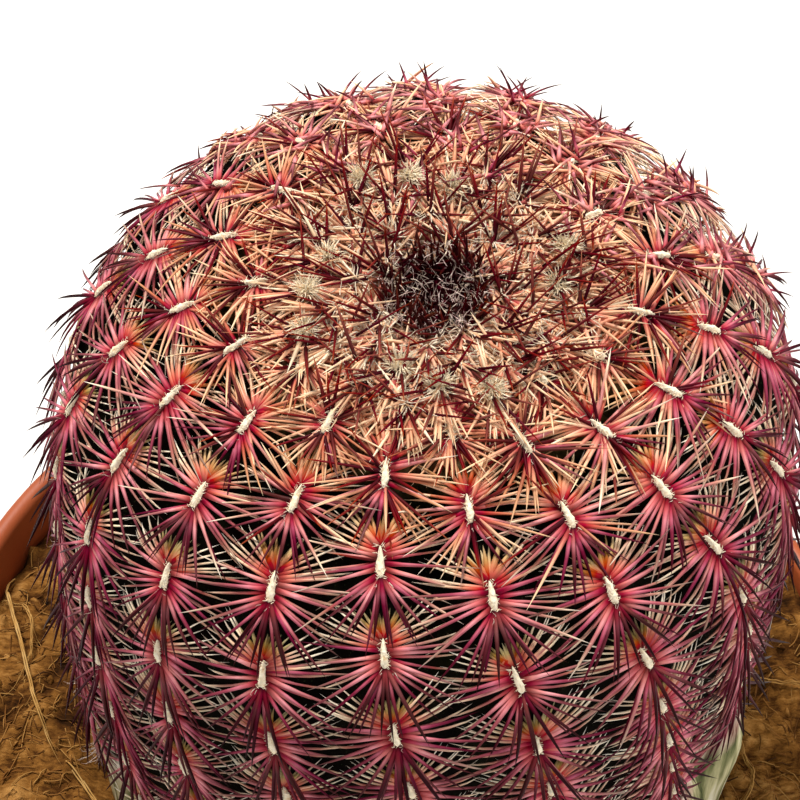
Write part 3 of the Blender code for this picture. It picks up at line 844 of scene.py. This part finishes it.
def grow_areole(rng, spines, fibres, curls, pads, rib, arc):
    """One areole: its comb of spines, the extra tan ones of a young areole, the loose ones of the far side,
    its wool pad, the pad's loose hairs and the fine curls below it."""
    place, down, side, out = areole_frame(rib, arc, PAD_LIFT)
    fluff = 1 - smoothstep(arc, *WOOLLY_ARCS)
    tan = 1 - smoothstep(arc, *TAN_ARCS)
    dusk = smoothstep(arc, *DUSK_ARCS)
    deep = smoothstep(arc, *DEEP_ARCS)
    fall = out.angle(areole_frame(rib, arc + SPINE_SPAN)[3])
    azimuth = rib_azimuth(rib, arc)
    old = 1 - smoothstep(place.z - SOIL_LEVEL - bare_height(azimuth), 0.0, OLD_REACH)
    shade = smoothstep(-math.cos(azimuth - LIGHT_SIDE), 0.2, 0.8)
    stretch = {HOOD: lerp(1.45, 1, dusk), LOWER: lerp(0.88, 1, dusk), DARK: lerp(0.7, 1, dusk)}
    size = rng.uniform(0.94, 1.06) * lerp(1, 0.86, fluff) * lerp(1, 0.56, old)
    turn = Matrix.Rotation(math.radians(rng.uniform(-5, 5)), 3, out)
    down = turn @ down
    side = turn @ side
    length = lerp(2.75, 2.2, max(fluff, shade)) * MM * rng.uniform(0.92, 1.08)
    width = lerp(0.74, 0.96, fluff) * MM
    loose = max(fluff, old)
    new = max(tan, 0.2 * shade * (1 - old))
    for hand in (-1, 1):
        for count, angles, lengths, rises, bends, thickness, swell, family in COMB:
            lift = lerp(0.5, 1, dusk) if family > OVER else 1
            stray = 1.2 if family in (CREAM, UNDER) else 2.6
            ripe = (deep if family == DARK else dusk) * (1 - 0.9 * shade)
            for i in range(count):
                share = i / (count - 1)
                angle = math.radians(lerp(*angles, share) + rng.gauss(0, stray + 7 * max(tan, shade)))
                rise = lerp(*rises, share) * lift + rng.gauss(0, stray) + tan * rng.uniform(-2, 9)
                rise = math.radians(rise) * lerp(1, 0.4, old)
                _, heading = aimed(-down, side * hand, out, angle, rise)
                along = -0.47 * length * max(-1.0, min(1.0, 1.5 * math.cos(angle)))
                start = place + down * along + side * hand * width * 0.3 * math.sin(angle)
                start += out * (0.1 if family == DARK else -0.05) * MM
                reach = lerp(lerp(*lengths, share), 5.4, tan * 0.8) * size * rng.uniform(0.9, 1.09) * MM
                reach *= stretch.get(family, 1) * lerp(1, 0.85, shade)
                bend = math.radians(lerp(*bends, share) * lerp(1, 0.6, tan) + rng.gauss(0, 2 * stray))
                bend += fall * abs(math.cos(angle))
                thick = lerp(thickness, 0.3, tan) * lerp(1, 0.9, shade) * size * rng.uniform(0.88, 1.12) * MM
                spines.add(
                    bent_line(start, heading, out, reach, bend),
                    width=thick,
                    swell=swell * lerp(1.2, 1, dusk) * lerp(1, 0.5, tan),
                    family=spine_family(rng, family, new, ripe, old),
                    # on the far side the tint is raised, which brightens the spine: painted light
                    tint=lerp(rng.random(), 1, 0.75 * shade),
                )
    for k in range(round(YOUNG_SPINES * tan)):
        angle = rng.uniform(0, 2 * math.pi)
        dark = k % 4 == 0
        rise = math.radians(rng.uniform(14, 38) if dark else rng.uniform(0, 14))
        flat, heading = aimed(down, side, out, angle, rise)
        spines.add(
            bent_line(place + flat * 0.4 * MM, heading, out, rng.uniform(3.8, 5.4) * MM, 0.1),
            width=rng.uniform(0.28, 0.36) * MM,
            family=NEW_DARK if dark else NEW_TAN + rng.uniform(0, 0.2),
            tint=rng.random(),
        )
    for _ in range(round(LOOSE_SPINES * shade * (1 - old))):
        angle = rng.uniform(0, 2 * math.pi)
        spike = rng.random() < 0.16
        rise = math.radians(rng.uniform(35, 60) if spike else rng.uniform(4, 24))
        _, heading = aimed(down, side, out, angle, rise)
        start = place + (down * rng.uniform(-2.4, 2.4) + side * rng.uniform(-2, 2) + out * 0.3) * MM
        reach = rng.uniform(3.2, 4.4 if spike else 5.6) * MM
        spines.add(
            bent_line(start, heading, out, reach, rng.uniform(0.2, 0.5)),
            width=(0.26 if spike else rng.uniform(0.28, 0.38)) * MM,
            swell=0.3,
            family=LOWER if spike else rng.choice((NEW_TAN, UNDER, OVER, OVER)),
            # the far side's loose spines get a high tint, which brightens them: painted light
            tint=rng.random() if spike else rng.uniform(0.8, 1),
        )
    pads.append((place, down, side, out, length, width, lerp(0.2, 1, old)))
    for _ in range(round(lerp(*PAD_HAIRS, loose))):
        along = rng.uniform(-0.5, 0.5)
        hand = rng.choice((-1, 1))
        lean = rng.uniform(-1.6, 1.6)
        heading = (side * hand + down * lean + out * rng.uniform(0.3, lerp(1.2, 1.8, loose))).normalized()
        start = place + down * length * along + side * hand * width * rng.uniform(0.1, 0.36) + out * 0.35 * MM
        fibres.add(
            bent_line(start, heading, out, rng.uniform(0.2, lerp(0.5, 1.5, loose)) * MM, 0.8, 4),
            width=rng.uniform(0.05, 0.09) * MM,
            age=lerp(0.2, 1, old),
        )
    for _ in range(round(lerp(*PAD_CURLS, old))):
        heading = (down + side * rng.uniform(-1.3, 1.3) + out * rng.uniform(0.2, 1.0)).normalized()
        start = place + down * length * 0.5 + side * rng.uniform(-0.5, 0.5) * MM
        reach = rng.uniform(0.8, lerp(1.8, 3.6, old)) * MM
        curls.add(
            bent_line(start, heading, out, reach, rng.uniform(-2.5, 2.5), 7),
            width=rng.uniform(0.06, lerp(0.1, 0.24, old)) * MM,
            age=rng.uniform(0.9, lerp(1.2, 1.7, old)),
        )


def pad_mesh(name, pads, look):
    """Wool pads: long, low, lumpy domes, narrower at the upper end."""
    points = []
    faces = []
    ages = []
    around, levels = 16, 6
    for place, down, side, out, length, width, age in pads:
        start = len(points)
        seed = Vector((len(points) * 0.37, 1.7, 4.2))
        rings = []
        for i in range(1, levels):
            polar = math.pi * i / levels
            ring = []
            for j in range(around):
                turn = 2 * math.pi * j / around
                x = math.sin(polar) * math.cos(turn)
                y = math.sin(polar) * math.sin(turn)
                z = math.cos(polar)
                rough = 1 + 0.7 * noise.noise(seed + Vector((x * 5, y * 3, z * 2)))
                slim = 0.76 + 0.38 * x
                flat = down * x * length * 0.5 + side * y * width * 0.5 * slim * rough
                ring.append(place + flat + out * (0.2 * MM + z * 0.42 * MM * rough))
            rings.append(ring)
        ring_points, ring_faces = lofted(rings, place + out * 0.62 * MM, place - out * 0.3 * MM)
        points.extend(ring_points)
        faces.extend(tuple(start + k for k in face) for face in ring_faces)
        ages.extend([age] * len(ring_points))
    made = closed_piece(name, points, faces, look)
    mark_points(made.data, "age", ages)
    return made


def make_combs(sweep, horn, felt):
    """Every rib's row of areoles: its spines, its wool pads and their hairs."""
    for rib in range(RIBS):
        rng = random.Random(100 + rib)
        spines = Guides("width", "swell", "family", "tint")
        fibres = Guides("width", "age")
        curls = Guides("width", "age")
        pads = []
        for arc in areole_arcs(rib):
            grow_areole(rng, spines, fibres, curls, pads, rib, arc)
        number = "_%02d" % (rib + 1)
        for piece in (
            grown("comb" + number, spines.mesh(), sweep, horn, {**COMB_SWEEP, "Seed": rib}),
            pad_mesh("wool" + number, pads, felt),
            grown("hairs" + number, fibres.mesh(), sweep, felt, HAIR_SWEEP),
            grown("curls" + number, curls.mesh(), sweep, felt, CURL_SWEEP),
        ):
            shown_as(piece, "spines", "spines_rib" + number)


def crown_frame(arc, azimuth):
    """A place on the crown's skin, and its directions away from the middle, to the side and outwards."""
    lift = 0.1 * MM
    place = skin_point(arc, azimuth, lift)
    away = (skin_point(arc + 0.2 * MM, azimuth, lift) - place).normalized()
    side = (skin_point(arc, azimuth + 0.02, lift) - place).normalized()
    return place, away, side, away.cross(side).normalized()


def make_crown(sweep, horn, felt):
    """The sunken crown: a hollow full of pinkish grey curls and upright dark spines, and young areoles round
    it on a tight spiral, with a mat of flat tan spines and wool under straight dark red ones."""
    rng = random.Random(7)
    spines = Guides("width", "swell", "family", "tint")
    fibres = Guides("width", "age")
    for k in range(CROWN_AREOLES):
        share = (k + 0.5) / CROWN_AREOLES
        arc = math.sqrt(lerp(CROWN_HOLLOW**2, CROWN_SPREAD**2, share))
        place, away, side, out = crown_frame(arc, k * GOLDEN_TURN + 0.4)
        reach = lerp(1.8, math.pi, smoothstep(arc, *FAN_ARCS))
        for _ in range(MAT_SPINES):
            rise = math.radians(rng.uniform(-1, 14))
            angle = rng.gauss(0, 0.6) if rng.random() < 0.5 else rng.uniform(-reach, reach)
            flat, heading = aimed(away, side, out, angle, rise)
            start = place + flat * rng.uniform(0, 1.4) * MM + out * rng.uniform(0, 0.7) * MM
            spines.add(
                bent_line(start, heading, out, rng.uniform(3.4, 5.4) * MM, rng.uniform(0.05, 0.3), 5),
                width=rng.uniform(0.34, 0.46) * MM,
                swell=0.2,
                family=NEW_TAN + (0.7 if rng.random() < 0.14 else rng.uniform(0, 0.2)),
                tint=rng.uniform(0.45, 1),
            )
        for _ in range(UPRIGHT_SPINES):
            rise = math.radians(rng.uniform(8, 42))
            flat, heading = aimed(away, side, out, rng.gauss(0, 1.1), rise)
            start = place + flat * rng.uniform(0, 2.0) * MM + out * rng.uniform(0.5, 0.9) * MM
            spines.add(
                bent_line(start, heading, out, rng.uniform(4.2, 6.2) * MM, 0.05, 5),
                width=rng.uniform(0.28, 0.36) * MM,
                family=NEW_DARK,
                tint=rng.random(),
            )
        tuft = arc > TUFT_ARC and k % 2 == 0
        for _ in range(TUFT_HAIRS if tuft else MAT_HAIRS):
            spread = rng.uniform(0, 0.9 if tuft else 2.2) * MM
            rise = rng.uniform(0.2, 1.4) if tuft else rng.uniform(0.0, 0.5)
            flat, heading = aimed(away, side, out, rng.uniform(0, 2 * math.pi), rise)
            start = place + flat * spread + out * rng.uniform(0.6, 1.3) * MM
            fibres.add(
                bent_line(start, heading, out, rng.uniform(0.7, 1.6) * MM, rng.uniform(-1.5, 1.8), 5),
                width=rng.uniform(0.11, 0.17) * MM,
                age=0.1 if tuft else 0.8,
            )
    for _ in range(HOLLOW_SPINES):
        arc = CROWN_HOLLOW * 1.1 * math.sqrt(rng.random())
        place, away, side, out = crown_frame(arc, rng.uniform(0, 2 * math.pi))
        rim = smoothstep(arc, *HOLLOW_RIM)
        _, heading = aimed(away, side, out, rng.gauss(0, 1.4), math.radians(rng.uniform(30, 80)))
        spines.add(
            bent_line(place, heading, out, lerp(2.0, 4.6, rim) * rng.uniform(0.75, 1.2) * MM, 0.08, 5),
            width=lerp(0.3, 0.36, rim) * MM,
            family=DARK + 0.7 * rim * rng.random(),
            tint=rng.random() * lerp(0.4, 0.8, rim),
        )
    for _ in range(HOLLOW_CURLS):
        arc = CROWN_HOLLOW * 1.3 * math.sqrt(rng.random())
        place, away, side, out = crown_frame(arc, rng.uniform(0, ANY_WAY))
        _, heading = aimed(away, side, out, rng.uniform(0, ANY_WAY), rng.uniform(0.1, 1.2))
        start = place + out * rng.uniform(0, 1.5) * MM
        fibres.add(
            bent_line(start, heading, out, rng.uniform(0.9, 2.2) * MM, rng.uniform(-3, 3.5), 6),
            width=rng.uniform(0.07, 0.12) * MM,
            age=rng.uniform(1.3, 2.0),
        )
    for piece in (
        grown("crown_comb", spines.mesh(), sweep, horn, CROWN_COMB_SWEEP),
        grown("crown_wool", fibres.mesh(), sweep, felt, CROWN_WOOL_SWEEP),
    ):
        shown_as(piece, "spines", "crown_spines")


# ---------------------------------------------------------------- stem, coir and pot


def cork_lift(arc, azimuth):
    """How far the corky base swells out on its fuller side."""
    return CORK_SWELL * smoothstep(arc, CORK_START, CORK_END) * max(0.0, math.cos(azimuth - BARE_SIDE))


def make_stem(look):
    """The stem: a smooth skin from the sunken crown to the rooted base, into which the tree presses the
    grooves between the ribs."""
    columns = RIBS * COLUMNS_PER_RIB
    count = round(ARCS[-1] / RING_STEP)
    rings = []
    arcs = [0.0]
    phases = [0.0]
    bares = [-RIB_FADE_END]
    outs = [Vector((0, 0, 1))]
    for i in range(1, count + 1):
        arc = ARCS[-1] * i / count
        ring = []
        for j in range(columns):
            rib = -j / COLUMNS_PER_RIB
            azimuth = rib_azimuth(rib, arc)
            lift = cork_lift(arc, azimuth)
            ring.append(skin_point(arc, azimuth, lift))
            arcs.append(arc)
            phases.append(rib)
            bares.append(SOIL_LEVEL + bare_height(azimuth) - ring[-1].z)
            outs.append((skin_point(arc, azimuth, lift + MM) - ring[-1]).normalized())
        rings.append(ring)
    arcs.append(ARCS[-1])
    phases.append(0.0)
    bares.append(RIB_FADE_END)
    outs.append(Vector((0, 0, -1)))
    guide = new_mesh("guide", *lofted(rings, skin_point(0, 0, 0), sum(rings[-1], Vector()) / columns))
    for label, values in (("arc", arcs), ("phase", phases), ("bare", bares)):
        mark_points(guide, label, values)
    mark_points(guide, "out", [value for out in outs for value in out], "FLOAT_VECTOR", "vector")
    shown_as(grown("stem_body", guide, ribbed_tree(), look, {}), "stem_skin", "stem")


def soil_edge():
    """The coir's radius at the pot's wall."""
    bottom = COLLAR_FOOT + COLLAR_SLOPE
    rise = (SOIL_LEVEL - bottom) / (POT_HEIGHT - LIP_BEAD - bottom)
    return lerp(COLLAR_RADIUS - WALL, LIP_RADIUS - LIP_BEAD, rise) - COIR_GAP


def clods(radius, angle):
    """How many mm the coir's lumps rise at a place."""
    place = round_point(radius, angle, 0) / MM
    lumps = 1.4 * noise.noise(place * 0.22) + 1.5 * abs(noise.noise(place * 0.42 + Vector((9, 3, 0))))
    return lumps + 0.6 * noise.noise(place * 0.9) + 0.35 * noise.noise(place * 2.1)


def soil_height(radius, angle):
    """The coir's uneven top: higher against the stem, with low mounds that die out at the wall, the clods
    of the coir itself, a heap against the wall at one side and a dip right beside the stem."""
    inward = 1 - radius / soil_edge()
    mounds = sum(math.sin(waves * angle + phase + wind * radius) for waves, phase, wind in SOIL_WAVES) / 2
    rise = SOIL_RISE * min(1.0, inward / RISE_WIDTH)
    height = SOIL_LEVEL + rise + SOIL_BUMP * mounds * min(1.0, inward / MOUND_FADE)
    dip = DIP_DEPTH * (1 - smoothstep(radius, *DIP_RADII))
    off = math.remainder(angle - HEAP_SIDE, 2 * math.pi) / HEAP_WIDTH
    heap = HEAP_HEIGHT * math.exp(-off * off) * smoothstep(radius, *HEAP_RADII)
    return height + clods(radius, angle) * MM - CLOD_MEAN - dip + heap


def waterline(azimuth):
    """The arc length at which the stem's skin meets the coir at an azimuth."""
    low, high = 60 * MM, 110 * MM
    for _ in range(24):
        middle = (low + high) / 2
        if skin_point(middle, azimuth, 0).z > SOIL_LEVEL + SOIL_RISE:
            low = middle
        else:
            high = middle
    return high


def coir_plug(coir):
    """The body of the coir: it fits round the stem's base and the pot's inner wall."""
    segments, bowl_rings, top_rings = 300, 8, 34
    edge = soil_edge()
    foot = FLOOR_TOP + COIR_GAP
    wall = (
        (COLLAR_RADIUS - WALL, COLLAR_FOOT + COLLAR_SLOPE),
        (BODY_TOP_RADIUS - WALL, COLLAR_FOOT - COLLAR_SLOPE),
        (FOOT_OUTER - WALL, foot),
    )
    lines = []
    for j in range(segments):
        angle = 2 * math.pi * j / segments
        shore = waterline(angle)
        line = []
        for i in range(bowl_rings):
            arc = lerp(ARCS[-1], shore, (i + 0.3) / bowl_rings)
            line.append(skin_point(arc, angle, cork_lift(arc, angle) + 0.2 * MM))
        rim = skin_point(shore, angle, cork_lift(shore, angle) - 0.4 * MM)
        start = math.hypot(rim.x, rim.y)
        bearing = math.atan2(rim.y, rim.x)
        for i in range(top_rings):
            share = i / (top_rings - 1)
            radius = lerp(start, edge, share)
            turned = bearing + math.remainder(angle - bearing, 2 * math.pi) * share
            line.append(round_point(radius, turned, soil_height(radius, turned)))
        line.extend(round_point(radius - COIR_GAP, angle, height) for radius, height in wall)
        lines.append(line)
    rings = [[line[i] for line in lines] for i in range(len(lines[0]))]
    top = sum(rings[0], Vector()) / segments
    plug = closed_piece("coir_plug", *lofted(rings, top, Vector((0, 0, foot))), coir)
    # each point's tint is its clod height, which the coir material turns into painted shade and painted
    # highlight
    clod_shades = []
    for vertex in plug.data.vertices:
        radius = math.hypot(vertex.co.x, vertex.co.y)
        clod_shades.append(clods(radius, math.atan2(vertex.co.y, vertex.co.x)) * 0.5)
    mark_points(plug.data, "tint", clod_shades)
    return plug


def coir_bed():
    """The ring of the coir's top on which chips are strewn."""
    rings, columns = 14, 72
    points = []
    for i in range(rings):
        radius = lerp(38 * MM, soil_edge() - 1.2 * MM, i / (rings - 1))
        for k in range(columns):
            angle = 2 * math.pi * k / columns
            points.append(round_point(radius, angle, soil_height(radius, angle) - 0.3 * MM))
    faces = []
    for i in range(rings - 1):
        for k in range(columns):
            m = (k + 1) % columns
            low, high = i * columns, (i + 1) * columns
            faces.append((low + k, high + k, high + m, low + m))
    return new_mesh("bed", points, faces)


def laid_line(points, lift):
    """A strand's smooth course through plan points in mm, laid on the coir with a lift in mm at each."""
    marks = [Vector((x, y, h)) for (x, y), h in zip(points, lift)]
    marks = [2 * marks[0] - marks[1]] + marks + [2 * marks[-1] - marks[-2]]
    line = []
    for p in smooth_course(marks, 5):
        radius = min(math.hypot(p.x, p.y) * MM, soil_edge() - 0.4 * MM)
        angle = math.atan2(p.y, p.x)
        line.append(round_point(radius, angle, soil_height(radius, angle) + p.z * MM))
    return line


def make_coir(sweep, scatter, coir, straw):
    """The coir: a plug with clods round the stem's base, husk chips, matted fibres and a few long strands."""
    chips = {"Density": CHIP_DENSITY, "Chip Size": 0.8 * MM, "Lumpiness": 1.1 * MM, "Seed": 3}
    rng = random.Random(31)
    fibres = Guides("width", "tint")
    edge = soil_edge()
    points = 6
    for _ in range(MATTED_FIBRES):
        radius = rng.uniform(37.5, 51.5) * MM
        angle = rng.uniform(0, 2 * math.pi)
        length = rng.choice((1.2, 1.8, 2.4, 3.4, 5)) * MM * rng.uniform(0.8, 1.3)
        course = rng.uniform(0, 2 * math.pi)
        curl = rng.gauss(0, 160)
        hop = rng.uniform(-0.1, 0.4) * MM
        x, y = radius * math.cos(angle), radius * math.sin(angle)
        line = []
        for i in range(points):
            r = min(math.hypot(x, y), edge - 0.5 * MM)
            a = math.atan2(y, x)
            lift = 0.1 * MM + hop * math.sin(math.pi * i / (points - 1))
            line.append(round_point(r, a, soil_height(r, a) + lift))
            x += math.cos(course) * length / points
            y += math.sin(course) * length / points
            course += curl * length / points
        fibres.add(line, width=rng.uniform(0.1, 0.22) * MM, tint=rng.random() * 0.6)
    strands = Guides("width", "tint")
    for width, tint, marks, lift in STRANDS:
        course = laid_line(marks, lift)
        for turn in (0, 2.1, 4.2):
            ply = []
            for i, p in enumerate(course):
                ply.append(p + round_point(1, i * 0.5 + turn, math.sin(i * 0.7 + turn)) * 0.16 * MM)
            trim = int(turn)
            strands.add(ply[trim : len(ply) - trim], width=width * 0.5 * MM, tint=tint * 0.8)
    for piece in (
        coir_plug(coir),
        grown("coir_chips", coir_bed(), scatter, coir, chips),
        grown("coir_fibres", fibres.mesh(), sweep, straw, FIBRE_SWEEP),
        grown("coir_strands", strands.mesh(), sweep, straw, STRAND_SWEEP),
    ):
        shown_as(piece, "coir", "soil")


def arc_points(centre, radius, start, end, steps):
    """Points of an arc in a radius and height plane, angles in degrees."""
    made = []
    for i in range(steps + 1):
        angle = math.radians(lerp(start, end, i / steps))
        made.append((centre[0] + radius * math.cos(angle), centre[1] + radius * math.sin(angle)))
    return made


def circle(radius, height, count, shift=0.0):
    """Even points round the pot's axis, counter-clockwise seen from above; shift is a share of their step."""
    return [round_point(radius, 2 * math.pi * (k + shift) / count, height) for k in range(count)]


def pot_outline():
    """The pot's section as radius and height: up the inside, over the lip, down the outside to the foot."""
    taper = []
    for i in range(1, 12):
        radius = lerp(BODY_TOP_RADIUS, FOOT_OUTER + 0.3 * MM, i / 12)
        taper.append((radius, lerp(COLLAR_FOOT - COLLAR_ROUND, FOOT_ROUND, i / 12)))
    curl = (LIP_RADIUS + LIP_BEAD * 0.45, POT_HEIGHT - 2.1 * LIP_BEAD)
    return (
        (FOOT_OUTER - WALL - 2 * MM, FLOOR_TOP),
        (FOOT_OUTER - WALL, FLOOR_TOP + 1.6 * MM),
        (BODY_TOP_RADIUS - WALL, COLLAR_FOOT - COLLAR_SLOPE),
        (COLLAR_RADIUS - WALL, COLLAR_FOOT + COLLAR_SLOPE),
        (LIP_RADIUS - LIP_BEAD - 0.15 * MM, POT_HEIGHT - 3 * LIP_BEAD),
        *arc_points((LIP_RADIUS, POT_HEIGHT - LIP_BEAD), LIP_BEAD, 180, 0, 14),
        *arc_points(curl, LIP_BEAD * 0.55, 0, -90, 6),
        (COLLAR_RADIUS + 0.55 * MM, POT_HEIGHT - 3.6 * LIP_BEAD),
        *arc_points((COLLAR_RADIUS - COLLAR_ROUND, COLLAR_FOOT + COLLAR_ROUND), COLLAR_ROUND, 0, -90, 5),
        *arc_points((BODY_TOP_RADIUS + COLLAR_ROUND, COLLAR_FOOT - COLLAR_ROUND), COLLAR_ROUND, 90, 180, 4),
        *taper,
        *arc_points((FOOT_OUTER - 0.6 * MM, FOOT_ROUND), FOOT_ROUND, 0, -90, 5),
        *arc_points((FOOT_INNER + FOOT_ROUND, FOOT_ROUND), FOOT_ROUND, -90, -180, 5),
        (FOOT_INNER, FLOOR_UNDERSIDE),
    )


def make_pot(look):
    """The pot: one moulding with a rolled lip, a collar, a drained floor and a notched foot ring."""
    rings = [circle(radius, height, POT_SEGMENTS) for radius, height in pot_outline()]
    poles = (Vector((0, 0, FLOOR_TOP)), Vector((0, 0, FLOOR_UNDERSIDE)))
    pot = closed_piece("pot_shell", *lofted(rings, *poles), look)
    cutters = []
    ends = (FLOOR_TOP + CUT_PAST, FLOOR_UNDERSIDE - CUT_PAST)
    for i in range(DRAIN_HOLES + 1):
        angle = 2 * math.pi * (i + 0.5) / DRAIN_HOLES
        centre = round_point(1, angle, 0) * (DRAIN_CIRCLE if i < DRAIN_HOLES else 0)
        hole = []
        for height in ends:
            hole.append([centre + point for point in circle(DRAIN_RADIUS, height, DRAIN_SEGMENTS, 0.3)])
        cutters.append(lofted(hole, *(centre + Vector((0, 0, height)) for height in ends)))
    for i in range(FOOT_NOTCHES):
        out = round_point(1, 2 * math.pi * (i + 0.5) / FOOT_NOTCHES, 0)
        side = Vector((-out.y, out.x, 0)) * NOTCH_WIDTH / 2
        block = []
        for height in (NOTCH_HEIGHT, -CUT_PAST):
            near = out * (FOOT_INNER - 3 * MM) + Vector((0, 0, height))
            far = out * (FOOT_OUTER + 4 * MM) + Vector((0, 0, height))
            block.append([near - side, far - side, far + side, near + side])
        cutters.append(lofted(block, sum(block[0], Vector()) / 4, sum(block[1], Vector()) / 4))
    tools = []
    for points, faces in cutters:
        tool = closed_piece("tool", points, faces, look)
        boolean = pot.modifiers.new("cut", "BOOLEAN")
        boolean.operation = "DIFFERENCE"
        boolean.solver = "EXACT"
        boolean.object = tool
        tools.append(tool)
    mesh = evaluated_mesh(pot)
    pot.modifiers.clear()
    pot.data = mesh
    for tool in tools:
        bpy.data.objects.remove(tool)
    mesh.shade_smooth()
    mesh.set_sharp_from_angle(angle=math.radians(35))
    shown_as(pot, "terracotta_plastic", "pot")


# ---------------------------------------------------------------- stage


def make_camera():
    """The camera, turned to its azimuth, elevation and roll."""
    east = Vector((math.cos(CAMERA_AZIMUTH), -math.sin(CAMERA_AZIMUTH), 0))
    level = Vector((math.sin(CAMERA_AZIMUTH), math.cos(CAMERA_AZIMUTH), 0))
    forward = level * math.cos(CAMERA_ELEVATION) - Vector((0, 0, math.sin(CAMERA_ELEVATION)))
    upright = east.cross(forward)
    right = east * math.cos(CAMERA_ROLL) + upright * math.sin(CAMERA_ROLL)
    up = upright * math.cos(CAMERA_ROLL) - east * math.sin(CAMERA_ROLL)
    data = bpy.data.cameras.new("camera")
    data.lens = CAMERA_LENS
    data.clip_start = 10 * MM
    camera = link_object("camera", data)
    turn = Matrix((right, up, -forward)).transposed().to_4x4()
    camera.matrix_world = Matrix.Translation(CAMERA_AIM - forward * CAMERA_DISTANCE) @ turn
    bpy.context.scene.camera = camera


def make_lamp(name, place, aim, size, power, colour="#ffffff"):
    """A square soft light that points at aim."""
    data = bpy.data.lights.new(name, "AREA")
    data.size = size
    data.energy = power
    data.color = linear(colour)[:3]
    lamp = link_object(name, data)
    lamp.location = place
    lamp.rotation_mode = "QUATERNION"
    lamp.rotation_quaternion = (Vector(aim) - Vector(place)).to_track_quat("-Z", "Y")


def make_stage():
    """A pale paper floor, matt and faintly uneven, a pale surrounding and soft lights."""
    half = 3.0
    corners = ((-half, -half, 0), (half, -half, 0), (half, half, 0), (-half, half, 0))
    mesh = new_mesh("floor", corners, [(0, 1, 2, 3)])
    made, tree, shader = new_material("studio_paper")
    grain = node(tree, "ShaderNodeTexNoise", {"Scale": 40.0, "Detail": 3.0})
    paper = node(tree, "ShaderNodeValToRGB", {0: grain}, ((0.3, "#f4f3f1"), (0.7, "#f8f7f5")))
    feed(shader, {"Base Color": paper, "Roughness": 0.9})
    mesh.materials.append(made)
    floor = link_object("floor", mesh)
    world = bpy.data.worlds.new("surround")
    world.use_nodes = True
    feed(world.node_tree.nodes["Background"], {"Color": linear("#fffdf9"), "Strength": 0.3})
    bpy.context.scene.world = world
    middle = (0, 0, 0.12)
    make_lamp("key_light", (-0.24, 0.28, 1.0), middle, 0.35, 12.8, "#fffaf4")
    make_lamp("fill_light", (0.7, -0.12, 0.6), middle, 0.4, 3.6)
    make_lamp("front_light", (-0.2, -0.75, 0.3), middle, 0.3, 1.0)
    bpy.context.scene.view_settings.view_transform = "Standard"


# ---------------------------------------------------------------- make everything


def make_everything():
    """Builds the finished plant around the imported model."""
    make_camera()
    horn = spine_material()
    felt = wool_material()
    coir = coir_material()
    straw = fibre_material()
    sweep = sweep_tree()
    scatter = scatter_tree()
    make_pot(pot_material())
    make_stem(skin_material())
    make_coir(sweep, scatter, coir, straw)
    make_combs(sweep, horn, felt)
    make_crown(sweep, horn, felt)
    make_stage()


make_everything()
